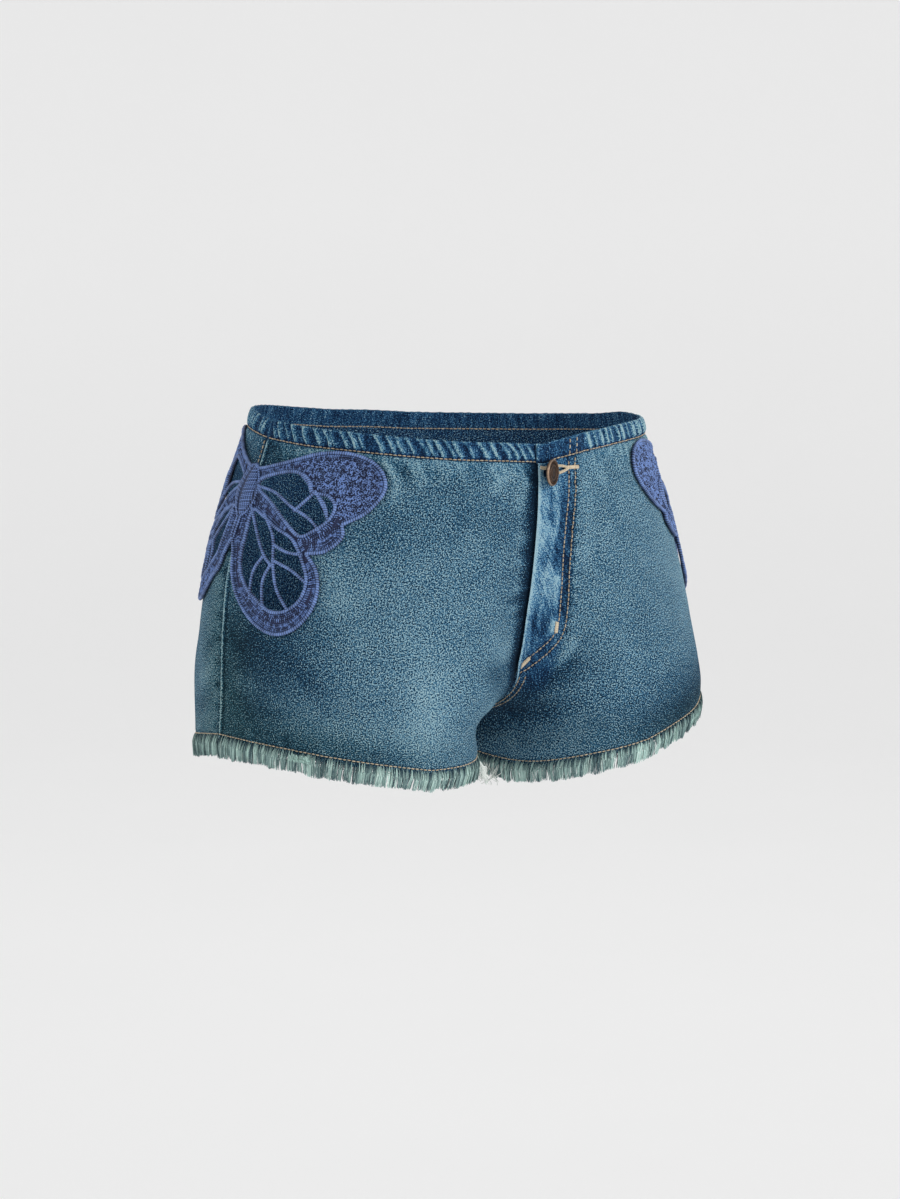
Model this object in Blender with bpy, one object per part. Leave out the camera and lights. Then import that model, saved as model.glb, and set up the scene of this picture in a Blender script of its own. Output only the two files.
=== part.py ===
"""Low-rise denim shorts, hollow and filled out as worn.

Metres, +Z up. The origin is the middle of the waist opening, the front faces -Y and the wearer's
left is +X. Every piece is a wall laid on one skin, which has four quarters: a front and a back for
each leg. A place on a quarter is (across, down, lift): across is measured along the cloth from the
side seam, down is measured along the side seam from the waist edge, and lift is the height over
the skin. The outer face of a plain panel has lift 0.
"""
import math
from collections import namedtuple

import bpy
import bmesh
import numpy as np
from mathutils import Matrix, Vector
from mathutils.geometry import delaunay_2d_cdt

MM = 0.001

# Driving sizes
SEAM_LENGTH = 206 * MM      # the side seam, waist edge to raw edge
CLOTH = 1.4 * MM            # thickness of the denim
GAP = 0.3 * MM              # between neighbouring pieces
BAND_HEIGHT = 12 * MM       # the gathered waist casing
RIGHT, LEFT = -1, 1         # the wearer's legs, by the sign of x
FRONT, BACK = -1, 1         # by the sign of y

# The skin: each row is a section of one leg. The rise is the centre seam down to the crotch and
# the inseam below it. turn is the angle at which the section leaves the rise, in degrees, and
# fore is the section's foremost or rearmost point. square fills out the corner to the side.
SideRow = namedtuple("SideRow", "section level x y z")
SIDE_SEAM = (
    SideRow("waist",    0.00, 0.1275, -0.002,  0.016),
    SideRow("band",     0.07, 0.1315, -0.002,  0.002),
    SideRow("high_hip", 0.25, 0.1440, -0.002, -0.034),
    SideRow("hip",      0.45, 0.1543,  0.004, -0.073),
    SideRow("low_hip",  0.65, 0.1582,  0.006, -0.110),
    SideRow("thigh",    0.80, 0.1604,  0.004, -0.138),
    SideRow("crotch",   0.91, 0.1622,  0.002, -0.157),
    SideRow("hem",      1.00, 0.1635,  0.002, -0.171),
)
SECTION_COLUMNS = "rise_x rise_y rise_z turn fore_x fore_y fore_z square"
PanelRow = namedtuple("PanelRow", "section level " + SECTION_COLUMNS)
FRONT_SECTIONS = (
    PanelRow("waist",    0.00, 0.000, -0.1030, -0.002,  0, 0.014, -0.1030, -0.001, 0.47),
    PanelRow("band",     0.07, 0.000, -0.1035, -0.016,  0, 0.016, -0.1037, -0.015, 0.47),
    PanelRow("high_hip", 0.25, 0.000, -0.1015, -0.052,  0, 0.028, -0.1040, -0.051, 0.49),
    PanelRow("hip",      0.45, 0.000, -0.0960, -0.092,  3, 0.042, -0.1060, -0.091, 0.53),
    PanelRow("low_hip",  0.65, 0.000, -0.0825, -0.131, 18, 0.058, -0.1085, -0.130, 0.57),
    PanelRow("thigh",    0.80, 0.000, -0.0560, -0.161, 45, 0.072, -0.1090, -0.160, 0.58),
    PanelRow("crotch",   0.91, 0.000,  0.0040, -0.182, 64, 0.078, -0.1070, -0.180, 0.58),
    PanelRow("hem",      1.00, 0.006,  0.0040, -0.197, 80, 0.078, -0.1040, -0.194, 0.58),
)
BACK_SECTIONS = (
    PanelRow("waist",    0.00, 0.000,  0.0985,  0.009,  0, 0.030,  0.0975,  0.009, 0.52),
    PanelRow("band",     0.07, 0.000,  0.1025, -0.005,  0, 0.030,  0.1020, -0.005, 0.52),
    PanelRow("high_hip", 0.25, 0.000,  0.1140, -0.043,  0, 0.040,  0.1160, -0.042, 0.49),
    PanelRow("hip",      0.45, 0.000,  0.1170, -0.086,  8, 0.055,  0.1230, -0.085, 0.46),
    PanelRow("low_hip",  0.65, 0.000,  0.1040, -0.131, 30, 0.070,  0.1230, -0.128, 0.48),
    PanelRow("thigh",    0.80, 0.000,  0.0700, -0.164, 60, 0.080,  0.1170, -0.160, 0.52),
    PanelRow("crotch",   0.91, 0.000,  0.0040, -0.182, 80, 0.084,  0.1100, -0.180, 0.52),
    PanelRow("hem",      1.00, 0.006,  0.0040, -0.197, 80, 0.084,  0.1060, -0.195, 0.52),
)

# The shorts hang a little askew: the waist tips down and the hem tips up toward the wearer's left,
# by so much for each metre of x. The waist edge and the hem also drop by these lengths, from the
# rise (share 0) to the side (share 1); a drop below 0 is a rise.
WAIST_SWAY, HEM_SWAY = -0.040, 0.055
DropRow = namedtuple("DropRow", "share front_right front_left back_right back_left")
WAIST_DROP = (
    DropRow(0.00, -1.0 * MM, -1.0 * MM, -2.0 * MM, -2.0 * MM),
    DropRow(0.10,  0.0 * MM, -4.0 * MM, -2.0 * MM, -1.5 * MM),
    DropRow(0.30,  3.5 * MM, -6.0 * MM, -2.0 * MM,  0.0 * MM),
    DropRow(0.65,  7.0 * MM, -4.0 * MM, -0.5 * MM,  1.5 * MM),
    DropRow(0.85,  8.3 * MM, -1.5 * MM,  3.5 * MM,  1.5 * MM),
    DropRow(1.00,  8.3 * MM,  0.0 * MM,  8.3 * MM,  0.0 * MM),
)
HEM_DROP = (
    DropRow(0.00, -2.0 * MM,   2.0 * MM, -2.0 * MM,  2.0 * MM),
    DropRow(0.20, -4.0 * MM,   9.0 * MM, -2.0 * MM,  2.0 * MM),
    DropRow(0.40, -2.5 * MM,   2.0 * MM,  0.0 * MM,  0.0 * MM),
    DropRow(0.60, -4.5 * MM,  -5.0 * MM,  0.0 * MM, -1.0 * MM),
    DropRow(0.80, -4.0 * MM,  -5.0 * MM,  0.0 * MM, -2.0 * MM),
    DropRow(1.00,  0.0 * MM,  -2.0 * MM,  0.0 * MM, -2.0 * MM),
)
WAIST_DROP_END = 0.40       # level where the waist edge's drop has faded away
HEM_DROP_START = 0.70       # level where the hem's drop begins
CROTCH_LEVEL = 0.91         # level where it begins at the rise, whose two sides stay joined above
RISE_SHARE = 0.25           # between the two, over this share of the way to the side
INSEAM_Y = FRONT_SECTIONS[-1].rise_y
RISE_MARGIN = 4 * MM        # points this near the rise are kept on their own side of it

LEVELS, STATIONS = 131, 131  # the skin's grid

# Fly: the left front laps over the right one and its shield lies behind
FLAP_RISE = 2.0 * MM        # lift of the flap over the shield
FLAP_WIDTH = 25 * MM        # from the centre to the end of the full lift
FLAP_SLOPE = 7 * MM         # the lift runs out over this width
FLAP_FADE = (0.70, 0.80)    # levels over which the lift ends
LapRow = namedtuple("LapRow", "level lap")
LAP = (LapRow(0.00, 3.0 * MM), LapRow(0.31, 3.5 * MM), LapRow(0.56, 3.5 * MM), LapRow(0.66, 2.0 * MM),
       LapRow(0.72, 0.3 * MM), LapRow(0.76, 0.0 * MM), LapRow(1.00, 0.0 * MM))
FLY_END = 165 * MM          # down to here the left front has its fly columns
SHIELD_WIDTH = 22 * MM
SHIELD_LENGTH = 141 * MM
SHIELD_CORNER = 14 * MM
SHIELD_TOP = 0.6 * MM
SHIELD_THICKNESS = 1.2 * MM
SHIELD_SINK = 0.05 * MM     # how far the shield's face lies below the skin
FLY_COLUMNS = (3.5 * MM, 10 * MM, 17 * MM)  # places from the centre that flap and shield share

# Button and its keyhole
BUTTON_ACROSS = 6.6 * MM    # from the centre front
BUTTON_DOWN = 17.8 * MM
BUTTON_SIDES = 24
SHANK_RADIUS = 2.4 * MM
EYE_RADIUS = 3.2 * MM
SLIT_WIDTH = 1.0 * MM
SLIT_END = (18.5 * MM, 16.8 * MM)   # from the centre front, and down
ProfileRow = namedtuple("ProfileRow", "radius height")
CAP_PROFILE = (             # the button's face, from its rim to its middle, over the cap's back
    ProfileRow(8.0 * MM, 0.0 * MM), ProfileRow(8.5 * MM, 0.5 * MM), ProfileRow(8.4 * MM, 1.5 * MM),
    ProfileRow(7.7 * MM, 2.0 * MM), ProfileRow(6.9 * MM, 1.6 * MM), ProfileRow(5.6 * MM, 1.8 * MM),
    ProfileRow(4.9 * MM, 1.5 * MM), ProfileRow(3.2 * MM, 1.8 * MM), ProfileRow(2.4 * MM, 1.5 * MM),
)

# Waist casing: gathered by its elastic
GATHER_PITCH = 6.8 * MM
GATHER_UNEVEN = 1.3 * MM    # the pitch wanders by this much
GATHER_HEIGHT = 1.5 * MM
GATHER_SLANTS = (0.30, -0.12, 0.15)  # of the right front, the left front and the back
GATHER_COLUMNS = 3          # columns of points in each gather
BAND_PUFF = 0.25 * MM       # lift between two gathers
BAND_FLAT = 6 * MM          # width over which gathers run out beside a seam
BAND_STEP = 9 * MM          # between points where it is smooth
BandRing = namedtuple("BandRing", "height lift swell")
BAND_RINGS = (              # height as a share of the casing's; lift 0 is the outer face
    BandRing(1.00, -CLOTH, 0.0), BandRing(0.06, -CLOTH, 0.0), BandRing(0.00, -0.5 * CLOTH, 0.3),
    BandRing(0.10, 0.0, 0.8), BandRing(0.50, 0.0, 1.0), BandRing(1.00, 0.0, 0.5),
)

# Panels
PANEL_EDGE_STEP = 11 * MM
FILL_CLEAR = 0.55           # a grid keeps this share of its step from an edge
CUT_CLEAR = 2.5 * MM        # the fly's points keep this far from an edge
PANEL_FILL_STEP = 19 * MM
PANEL_FINE_STEP = 14 * MM   # below PANEL_FINE_START, where the cloth turns in to the crotch
PANEL_FINE_START = 110 * MM
CROTCH_ROWS = (150 * MM, 192 * MM)  # between these the rise runs under the crotch
CROTCH_EDGE_STEP = 5.5 * MM
CROTCH_FILL_STEP = 11 * MM
CROTCH_COLUMNS = (8 * MM, 19 * MM)  # rows of points beside the rise there

# Hip lace: half of a butterfly whose body lies on the side seam, as (across, down) in millimetres.
# The back half is its mirror image.
WING_EDGE = (
    ((0, 29), (5, 31), (22, 25), (46, 15), (67, 13.5), (83, 20), (90.5, 33), (85, 48), (73, 58)),
    ((73, 58), (76, 66), (70, 75), (59, 78)),
    ((59, 78), (69, 87), (73.5, 99), (71.5, 112), (63, 123), (50, 128), (34, 124), (19, 113),
     (9, 99), (5, 86), (0, 77)),
)
UPPER_WINDOW = ((9, 38), (20, 32), (33, 28.5), (43, 32), (49, 40), (59, 41), (65.5, 47.5), (64, 57),
                (57, 65), (50, 68.5), (36, 60), (22, 50), (11, 44))
LOWER_WINDOW = ((11, 58), (21, 60), (34, 66), (47, 71), (58, 82), (65, 93), (64, 105), (56, 113),
                (45, 115), (34, 110), (23, 103), (15, 92), (12, 75))
VEINS = (
    ((7, 42), (24, 44), (38, 51), (52, 57), (63, 65)),
    ((41, 54), (51, 39)),
    ((50, 39), (58, 48), (65, 58)),
    ((9, 56), (21, 71), (32, 83), (41, 89)),
    ((21, 58), (34, 72), (41, 89)),
    ((36, 76), (47, 79), (58, 79)),
    ((40, 85), (54, 89), (66, 95)),
    ((32, 83), (27, 94), (28, 111)),
    ((39, 87), (36, 99), (40, 116)),
    ((40, 86), (47, 101), (58, 113)),
)
DENIM_BAY = ((10, 33), (21, 28), (34, 25), (47, 28), (54, 36), (63, 37.5), (69.5, 46.5), (68, 59),
             (61, 68), (56, 74), (63, 83), (69.5, 93), (68.5, 106), (60, 116), (46, 119.5), (32, 115),
             (20, 107), (11.5, 96), (8.5, 85), (3.5, 76))
BAY_STEP = 9 * MM
BAY_TOP, BAY_BOTTOM = 36 * MM, 73 * MM  # where the bay meets the side seam
WING_LEAN = 0.38            # the left butterfly's front wings lean forward by this slope
WING_LEAN_DOWN = 75 * MM    # about this place down the seam
WING_ROOT = 50 * MM         # the lean comes in over this width from the body
WING_SHORT = 12 * MM        # the back wings end this much higher than the front ones
WING_SHORT_ROWS = (60 * MM, 120 * MM)   # down from here to here this comes in
BODY_WIDTH = 20 * MM        # the butterfly's body and the roots of its wings stay put
LACE_STEP = 9 * MM
LACE_FILL_STEP = 14 * MM
LACE_CLEAR = 0.70 * MM      # the lace lies this far over the denim
LACE_FILL, LACE_CORD = 1.6 * MM, 2.5 * MM   # outer lift of the filled ground, and of cords and rims
VEIN_HALF_WIDTH = 1.4 * MM
RIM_WIDTH = 3.0 * MM
RIM_CLEAR = 0.8             # points nearer the edge than this share of the rim are left out

# Frayed hem
LOCKS = 78                  # for each leg
LOCK_SHARE = 0.74           # a lock's root, as a share of its pitch
LOCK_TIP_SHARE = 0.50       # its tip, as a share of its root
LOCK_LENGTH = 9.5 * MM
LOCK_UNEVEN = 2.2 * MM
LOCK_THICKNESS = 1.3 * MM
LOCK_FLARE = 0.9 * MM
LOCK_SWING = 1.6 * MM
STRIP_HEIGHT = 1.6 * MM

Finish = namedtuple("Finish", "colour roughness metallic")
DENIM = Finish((0.080, 0.160, 0.230), 0.85, 0.0)
DENIM_BAND = Finish((0.060, 0.120, 0.200), 0.85, 0.0)
LACE = Finish((0.055, 0.070, 0.190), 0.60, 0.0)
FRAY = Finish((0.260, 0.360, 0.350), 0.90, 0.0)
BRASS = Finish((0.190, 0.120, 0.080), 0.40, 0.9)


# ---------------------------------------------------------------- curves and the skin

def smooth(value):
    """0 below 0, 1 above 1, with soft ends between."""
    value = np.clip(value, 0.0, 1.0)
    return value * value * (3.0 - 2.0 * value)


def columns(rows, names):
    """The named columns of a table, as an array."""
    return np.array([[getattr(row, name) for name in names.split()] for row in rows], float)


def through(levels, values, wanted):
    """A smooth curve through a table's rows, read at the wanted levels."""
    step = np.diff(levels)
    slope = np.diff(values, axis=0) / step[:, None]
    tangent = np.empty_like(values)
    weight = step[:-1] + step[1:]
    tangent[1:-1] = (slope[:-1] * step[1:, None] + slope[1:] * step[:-1, None]) / weight[:, None]
    tangent[0] = 1.5 * slope[0] - 0.5 * tangent[1]
    tangent[-1] = 1.5 * slope[-1] - 0.5 * tangent[-2]
    for index, flat in enumerate(np.abs(slope) < 1e-9):
        tangent[index][flat] = 0.0
        tangent[index + 1][flat] = 0.0
    row = np.clip(np.searchsorted(levels, wanted, side="right") - 1, 0, len(step) - 1)
    u = ((wanted - levels[row]) / step[row])[:, None]
    span = step[row][:, None]
    return ((2 * u**3 - 3 * u**2 + 1) * values[row] + (u**3 - 2 * u**2 + u) * span * tangent[row]
            + (3 * u**2 - 2 * u**3) * values[row + 1] + (u**3 - u**2) * span * tangent[row + 1])


def bezier(start, first, second, end, u):
    """Cubic curves, one for each row of the four arrays of points."""
    u = u[None, :, None]
    start, first, second, end = (points[:, None, :] for points in (start, first, second, end))
    return (1 - u)**3 * start + 3 * (1 - u)**2 * u * first + 3 * (1 - u) * u * u * second + u**3 * end


def spread(*values):
    """Values as arrays of floats of one length."""
    return np.broadcast_arrays(*(np.asarray(value, float) for value in values))


def edge_drop(table, share, leg, facing):
    """How far an edge drops at a share of the way from the rise to the side."""
    name = ("front" if facing == FRONT else "back") + ("_right" if leg == RIGHT else "_left")
    return through(columns(table, "share")[:, 0], columns(table, name), share)[:, 0]


class Quarter:
    """The front or the back of one leg's skin."""

    def __init__(self, rows, facing, leg):
        level = np.linspace(0.0, 1.0, LEVELS)
        side = through(columns(SIDE_SEAM, "level")[:, 0], columns(SIDE_SEAM, "x y z"), level)
        rise_x, rise_y, rise_z, turn, fore_x, fore_y, fore_z, square = through(
            columns(rows, "level")[:, 0], columns(rows, SECTION_COLUMNS), level).T
        turn = np.radians(turn)
        rise = np.stack([rise_x, rise_y, rise_z], 1)
        fore = np.stack([fore_x, fore_y, fore_z], 1)
        reach = 0.42 * np.linalg.norm((fore - rise)[:, :2], axis=1)
        flat = np.zeros(LEVELS)
        fall = fore_z - rise_z
        climb = side[:, 2] - fore_z
        leave = rise + np.stack([reach * np.cos(turn), facing * reach * np.sin(turn), 0.4 * fall], 1)
        arrive = fore - np.stack([reach, flat, 0.25 * fall], 1)
        corner = fore + np.stack([square * (side[:, 0] - fore_x), flat, 0.33 * climb], 1)
        close = side + np.stack([flat, square * (fore_y - side[:, 1]), -0.25 * climb], 1)
        u = np.linspace(0.0, 1.0, STATIONS)
        section = np.concatenate([bezier(rise, leave, arrive, fore, u),
                                  bezier(fore, corner, close, side, u)[:, 1:]], 1)
        share = np.linspace(0.0, 1.0, STATIONS)
        self.points = np.empty((LEVELS, STATIONS, 3))
        for row in range(LEVELS):
            steps = np.linalg.norm(np.diff(section[row], axis=0), axis=1)
            length = np.concatenate([[0.0], np.cumsum(steps)])
            for axis in range(3):
                self.points[row, :, axis] = np.interp(share, length / length[-1], section[row, :, axis])
        self.points[..., 0] *= leg
        sway = WAIST_SWAY + (HEM_SWAY - WAIST_SWAY) * level
        self.points[..., 2] += self.points[..., 0] * sway[:, None]
        waist_fade = 1.0 - smooth(level[:, None] / WAIST_DROP_END)
        begin = CROTCH_LEVEL + (HEM_DROP_START - CROTCH_LEVEL) * smooth(share / RISE_SHARE)
        hem_fade = smooth((level[:, None] - begin) / (1.0 - begin))
        for table, fade in ((WAIST_DROP, waist_fade), (HEM_DROP, hem_fade)):
            self.points[..., 2] -= fade * edge_drop(table, share, leg, facing)
        normal = np.cross(np.gradient(self.points, axis=0), np.gradient(self.points, axis=1))
        self.normals = -leg * facing * normal / np.linalg.norm(normal, axis=2, keepdims=True)
        self.lengths = np.linalg.norm(np.diff(self.points, axis=1), axis=2).sum(axis=1)

    def length(self, down):
        """The section's length from the side seam to the rise."""
        return np.interp(np.asarray(down) / SEAM_LENGTH * (LEVELS - 1), np.arange(LEVELS), self.lengths)

    def place(self, across, down, lift):
        """Points on the quarter; below the raw edge they go on in the cloth's own direction."""
        across, down, lift = spread(across, down, lift)
        row = np.clip(down / SEAM_LENGTH, 0.0, 1.0) * (LEVELS - 1)
        column = np.clip(1.0 - across / self.length(down), 0.0, 1.0) * (STATIONS - 1)
        top = np.clip(row.astype(int), 0, LEVELS - 2)
        left = np.clip(column.astype(int), 0, STATIONS - 2)
        v, u = (row - top)[:, None], (column - left)[:, None]

        def read(grid):
            return ((1 - v) * ((1 - u) * grid[top, left] + u * grid[top, left + 1])
                    + v * ((1 - u) * grid[top + 1, left] + u * grid[top + 1, left + 1]))

        normal = read(self.normals)
        normal /= np.linalg.norm(normal, axis=1, keepdims=True)
        fall = self.points[-1, left] - self.points[-2, left]
        fall /= np.linalg.norm(fall, axis=1, keepdims=True)
        below = np.maximum(down - SEAM_LENGTH, 0.0)
        return read(self.points) + normal * lift[:, None] + fall * below[:, None]


class Leg:
    """Both quarters of one leg. Across is positive on the front and negative on the back."""

    def __init__(self, side):
        self.side = side
        self.front = Quarter(FRONT_SECTIONS, FRONT, side)
        self.back = Quarter(BACK_SECTIONS, BACK, side)

    def wing(self, across, down):
        """Where a place of the butterfly's plan lies on this leg."""
        lean = WING_LEAN * (WING_LEAN_DOWN - down) * smooth(across / WING_ROOT) * (self.side == LEFT)
        start, end = WING_SHORT_ROWS
        lower = smooth((down - start) / (end - start)) * smooth(-across / BODY_WIDTH)
        return across + lean, down - WING_SHORT * lower

    def place_wing(self, across, down, lift):
        """Points of the butterfly's plan."""
        return self.place(*self.wing(across, down), lift)

    def place(self, across, down, lift):
        across, down, lift = spread(across, down, lift)
        on_front = across >= 0.0
        points = np.empty((len(across), 3))
        points[on_front] = self.front.place(across[on_front], down[on_front], lift[on_front])
        points[~on_front] = self.back.place(-across[~on_front], down[~on_front], lift[~on_front])
        return points


def keep_apart(points, from_rise, leg, facing):
    """Keep points beside the centre seam and the inseam on their own side of it."""
    near = from_rise < RISE_MARGIN
    own_x = leg * np.maximum(leg * points[:, 0], GAP / 2)
    own_y = INSEAM_Y + facing * np.maximum(facing * (points[:, 1] - INSEAM_Y), GAP / 2)
    points[:, 0] = np.where(near, own_x, points[:, 0])
    points[:, 1] = np.where(near, own_y, points[:, 1])
    return points


def lap(down):
    """How far the flap's edge lies past the centre front."""
    table = columns(LAP, "level lap")
    return through(table[:, 0], table[:, 1:], np.atleast_1d(down) / SEAM_LENGTH)[:, 0]


def flap_lift(from_centre, down):
    """The lift of the left front over its own skin, highest over the shield."""
    width = 1.0 - smooth((from_centre - FLAP_WIDTH) / FLAP_SLOPE)
    start, end = FLAP_FADE
    return FLAP_RISE * width * (1.0 - smooth((down / SEAM_LENGTH - start) / (end - start)))


class FlapSide:
    """The left front's skin, carried past the centre onto the right front and lifted at the fly."""

    def __init__(self, right, left):
        self.right, self.left = right.front, left.front

    def place(self, across, down, lift):
        across, down, lift = spread(across, down, lift)
        from_centre = self.left.length(down) - across
        raised = lift + flap_lift(from_centre, down)
        points = self.left.place(across, down, raised)
        past = from_centre < 0.0
        if past.any():
            beyond = self.right.length(down[past]) + from_centre[past]
            points[past] = self.right.place(beyond, down[past], raised[past])
        points[~past] = keep_apart(points[~past], from_centre[~past], LEFT, FRONT)
        return points


# ---------------------------------------------------------------- walls

def make_object(name, mesh, finish, sharp_degrees=45.0):
    """Link a mesh as a named object with its own material."""
    material = bpy.data.materials.new(name)
    material.use_nodes = True
    shader = material.node_tree.nodes["Principled BSDF"]
    shader.inputs["Base Color"].default_value = (*finish.colour, 1.0)
    shader.inputs["Roughness"].default_value = finish.roughness
    shader.inputs["Metallic"].default_value = finish.metallic
    mesh.materials.append(material)
    mesh.shade_smooth()
    mesh.set_sharp_from_angle(angle=math.radians(sharp_degrees))
    result = bpy.data.objects.new(name, mesh)
    bpy.context.scene.collection.objects.link(result)
    return result


def mesh_from(name, points, faces):
    """A mesh whose faces all point outward."""
    mesh = bpy.data.meshes.new(name)
    mesh.from_pydata([tuple(point) for point in points], [], [tuple(face) for face in faces])
    body = bmesh.new()
    body.from_mesh(mesh)
    bmesh.ops.recalc_face_normals(body, faces=body.faces)
    body.to_mesh(mesh)
    body.free()
    return mesh


def inside(points, polygon):
    """Which points lie inside a polygon."""
    x, y = points[:, :1], points[:, 1:]
    start, end = polygon, np.roll(polygon, -1, axis=0)
    crosses = (start[:, 1] > y) != (end[:, 1] > y)
    rise = np.where(end[:, 1] == start[:, 1], 1.0, end[:, 1] - start[:, 1])
    where = start[:, 0] + (y - start[:, 1]) * (end[:, 0] - start[:, 0]) / rise
    return (crosses & (x < where)).sum(axis=1) % 2 == 1


def distance(points, polygon, closed=True):
    """The distance of each point from a polygon's edges."""
    start = polygon if closed else polygon[:-1]
    end = np.roll(polygon, -1, axis=0) if closed else polygon[1:]
    edge = end - start
    along = ((points[:, None] - start) * edge).sum(-1) / np.maximum((edge * edge).sum(-1), 1e-18)
    foot = start + np.clip(along, 0.0, 1.0)[..., None] * edge
    return np.linalg.norm(points[:, None] - foot, axis=2).min(axis=1)


def triangulate(outline, cuts, fill):
    """Triangles of a flat plan. cuts are further polygons whose edges the triangles follow."""
    plan = [Vector(point) for polygon in (outline, *cuts) for point in polygon]
    edges = []
    first = 0
    for polygon in (outline, *cuts):
        count = len(polygon)
        edges += [(first + index, first + (index + 1) % count) for index in range(count)]
        first += count
    plan += [Vector(point) for point in fill]
    points, _, faces, *_ = delaunay_2d_cdt(plan, edges, [], 0, 1e-7)
    return np.array([tuple(point) for point in points]), np.array([tuple(face) for face in faces])


def wall(name, plan, faces, place, outer, inner, finish):
    """A closed wall over the faces of a flat plan. outer and inner give its two lifts."""
    used = np.unique(faces)
    number = {old: new for new, old in enumerate(used)}
    plan = plan[used]
    faces = [tuple(number[corner] for corner in face) for face in faces]
    count = len(plan)
    across, down = plan.T
    points = np.concatenate([place(across, down, outer(plan)), place(across, down, inner(plan))])
    shell = faces + [tuple(corner + count for corner in reversed(face)) for face in faces]
    shell += [(start, start + count, end + count, end) for start, end in boundary(faces)]
    return make_object(name, mesh_from(name, points, shell), finish)


def boundary(faces):
    """The directed edges that only one face has."""
    edges = {(start, end) for face in faces for start, end in zip(face, face[1:] + face[:1])}
    return [(start, end) for start, end in edges if (end, start) not in edges]


def grid_fill(outline, cuts, step, fine_step=None, fine_start=math.inf, clear=FILL_CLEAR):
    """Points of a staggered grid inside a plan, clear of its edges."""
    low, high = outline.min(axis=0), outline.max(axis=0)
    points = []
    down = low[1] + 0.5 * step
    row = 0
    while down < high[1]:
        pace = fine_step if fine_step and down > fine_start else step
        start = low[0] + pace * (0.25 if row % 2 else 0.75)
        points += [(across, down) for across in np.arange(start, high[0], pace)]
        down += 0.87 * pace
        row += 1
    points = np.array(points)
    points = points[inside(points, outline)]
    for polygon in (outline, *cuts):
        near = np.where(points[:, 1] > fine_start, fine_step or step, step)
        points = points[distance(points, polygon) > clear * near]
    return points


def rounded(corners, step, closed=False):
    """A smooth curve through a few places, with points about a step apart."""
    corners = np.array(corners, float)
    if closed:
        before, after = np.roll(corners, 1, axis=0), np.roll(corners, -1, axis=0)
        ends = np.roll(corners, -1, axis=0)
    else:
        before = np.concatenate([2 * corners[:1] - corners[1:2], corners[:-1]])
        after = np.concatenate([corners[1:], 2 * corners[-1:] - corners[-2:-1]])
        ends = corners[1:]
    tangent = 0.5 * (after - before)
    next_tangent = np.roll(tangent, -1, axis=0)
    curve = []
    for index, end in enumerate(ends):
        start = corners[index]
        count = max(1, round(float(np.linalg.norm(end - start)) / step))
        for u in np.arange(count) / count:
            curve.append((2 * u**3 - 3 * u**2 + 1) * start + (u**3 - 2 * u**2 + u) * tangent[index]
                         + (3 * u**2 - 2 * u**3) * end + (u**3 - u**2) * next_tangent[index])
    if not closed:
        curve.append(corners[-1])
    return np.array(curve)


# ---------------------------------------------------------------- panels and fly

def seam_levels(start, end, step=PANEL_EDGE_STEP):
    """The levels at which neighbouring panels both have their seam points."""
    count = max(1, round((end - start) / step))
    return np.linspace(start, end, count + 1)


def rise_levels():
    """The seam levels of the rise, closer where it runs under the crotch."""
    levels = seam_levels(BAND_HEIGHT + GAP / 2, SEAM_LENGTH)
    start, end = CROTCH_ROWS
    crotch = seam_levels(start, end, CROTCH_EDGE_STEP)
    return np.concatenate([levels[levels < start - CROTCH_EDGE_STEP], crotch,
                           levels[levels > end + CROTCH_EDGE_STEP]])


def crotch_fill(quarter):
    """Points beside the rise where it runs under the crotch."""
    start, end = CROTCH_ROWS
    return np.array([(float(quarter.length(down)) - column, down)
                     for down in seam_levels(start, end, CROTCH_FILL_STEP) for column in CROTCH_COLUMNS])


def bay_outline(leg, facing):
    """The bay that a panel leaves for the lace, from its top on the side seam to its bottom."""
    bay = rounded(DENIM_BAY, BAY_STEP / MM) * MM
    sign = 1.0 if facing == FRONT else -1.0
    across, down = leg.wing(sign * bay[:, 0], bay[:, 1])
    return list(zip(sign * across, down))


def panel_outline(quarter, bay, past_centre, top_columns=()):
    """A panel's outline as (across, down), with the bay for the lace at its side seam.

    past_centre gives how far it goes past the rise. Its top edge has a point at each of
    top_columns, measured from the rise, and evenly spaced points beyond the last of them.
    """
    top, hem = BAND_HEIGHT + GAP / 2, SEAM_LENGTH
    edge = GAP / 2
    upper = [(edge, down) for down in seam_levels(top, BAY_TOP)]
    lower = [(edge, down) for down in seam_levels(BAY_BOTTOM, hem)]
    reach = float(quarter.length(hem)) - edge
    count = round(reach / PANEL_EDGE_STEP)
    along_hem = [(across, hem) for across in np.linspace(edge, reach, count + 1)[1:-1]]
    down = rise_levels()[::-1]
    rise = list(zip(quarter.length(down) - edge + past_centre(down), down))
    along_top = [(float(quarter.length(top)) - column, top) for column in top_columns]
    reach = along_top[-1][0] if along_top else rise[-1][0]
    count = round(reach / PANEL_EDGE_STEP)
    along_top += [(reach * index / count, top) for index in range(count - 1, 0, -1)]
    return np.array(upper + bay + lower + along_hem + rise + along_top)


def keyhole(quarter):
    """The buttonhole: an eye round the shank, and a slit away from the fly's edge."""
    slit = np.array(SLIT_END) - (BUTTON_ACROSS, BUTTON_DOWN)
    heading = math.atan2(slit[1], slit[0])
    half = math.asin(0.5 * SLIT_WIDTH / EYE_RADIUS)
    turns = np.linspace(heading + half, heading + 2 * math.pi - half, 13)
    eye = np.stack([np.cos(turns), np.sin(turns)], 1) * EYE_RADIUS + (BUTTON_ACROSS, BUTTON_DOWN)
    square = np.array([-math.sin(heading), math.cos(heading)]) * 0.5 * SLIT_WIDTH
    places = np.concatenate([eye, [np.array(SLIT_END) - square, np.array(SLIT_END) + square]])
    places[:, 0] = quarter.length(places[:, 1]) - places[:, 0]
    return places


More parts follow.
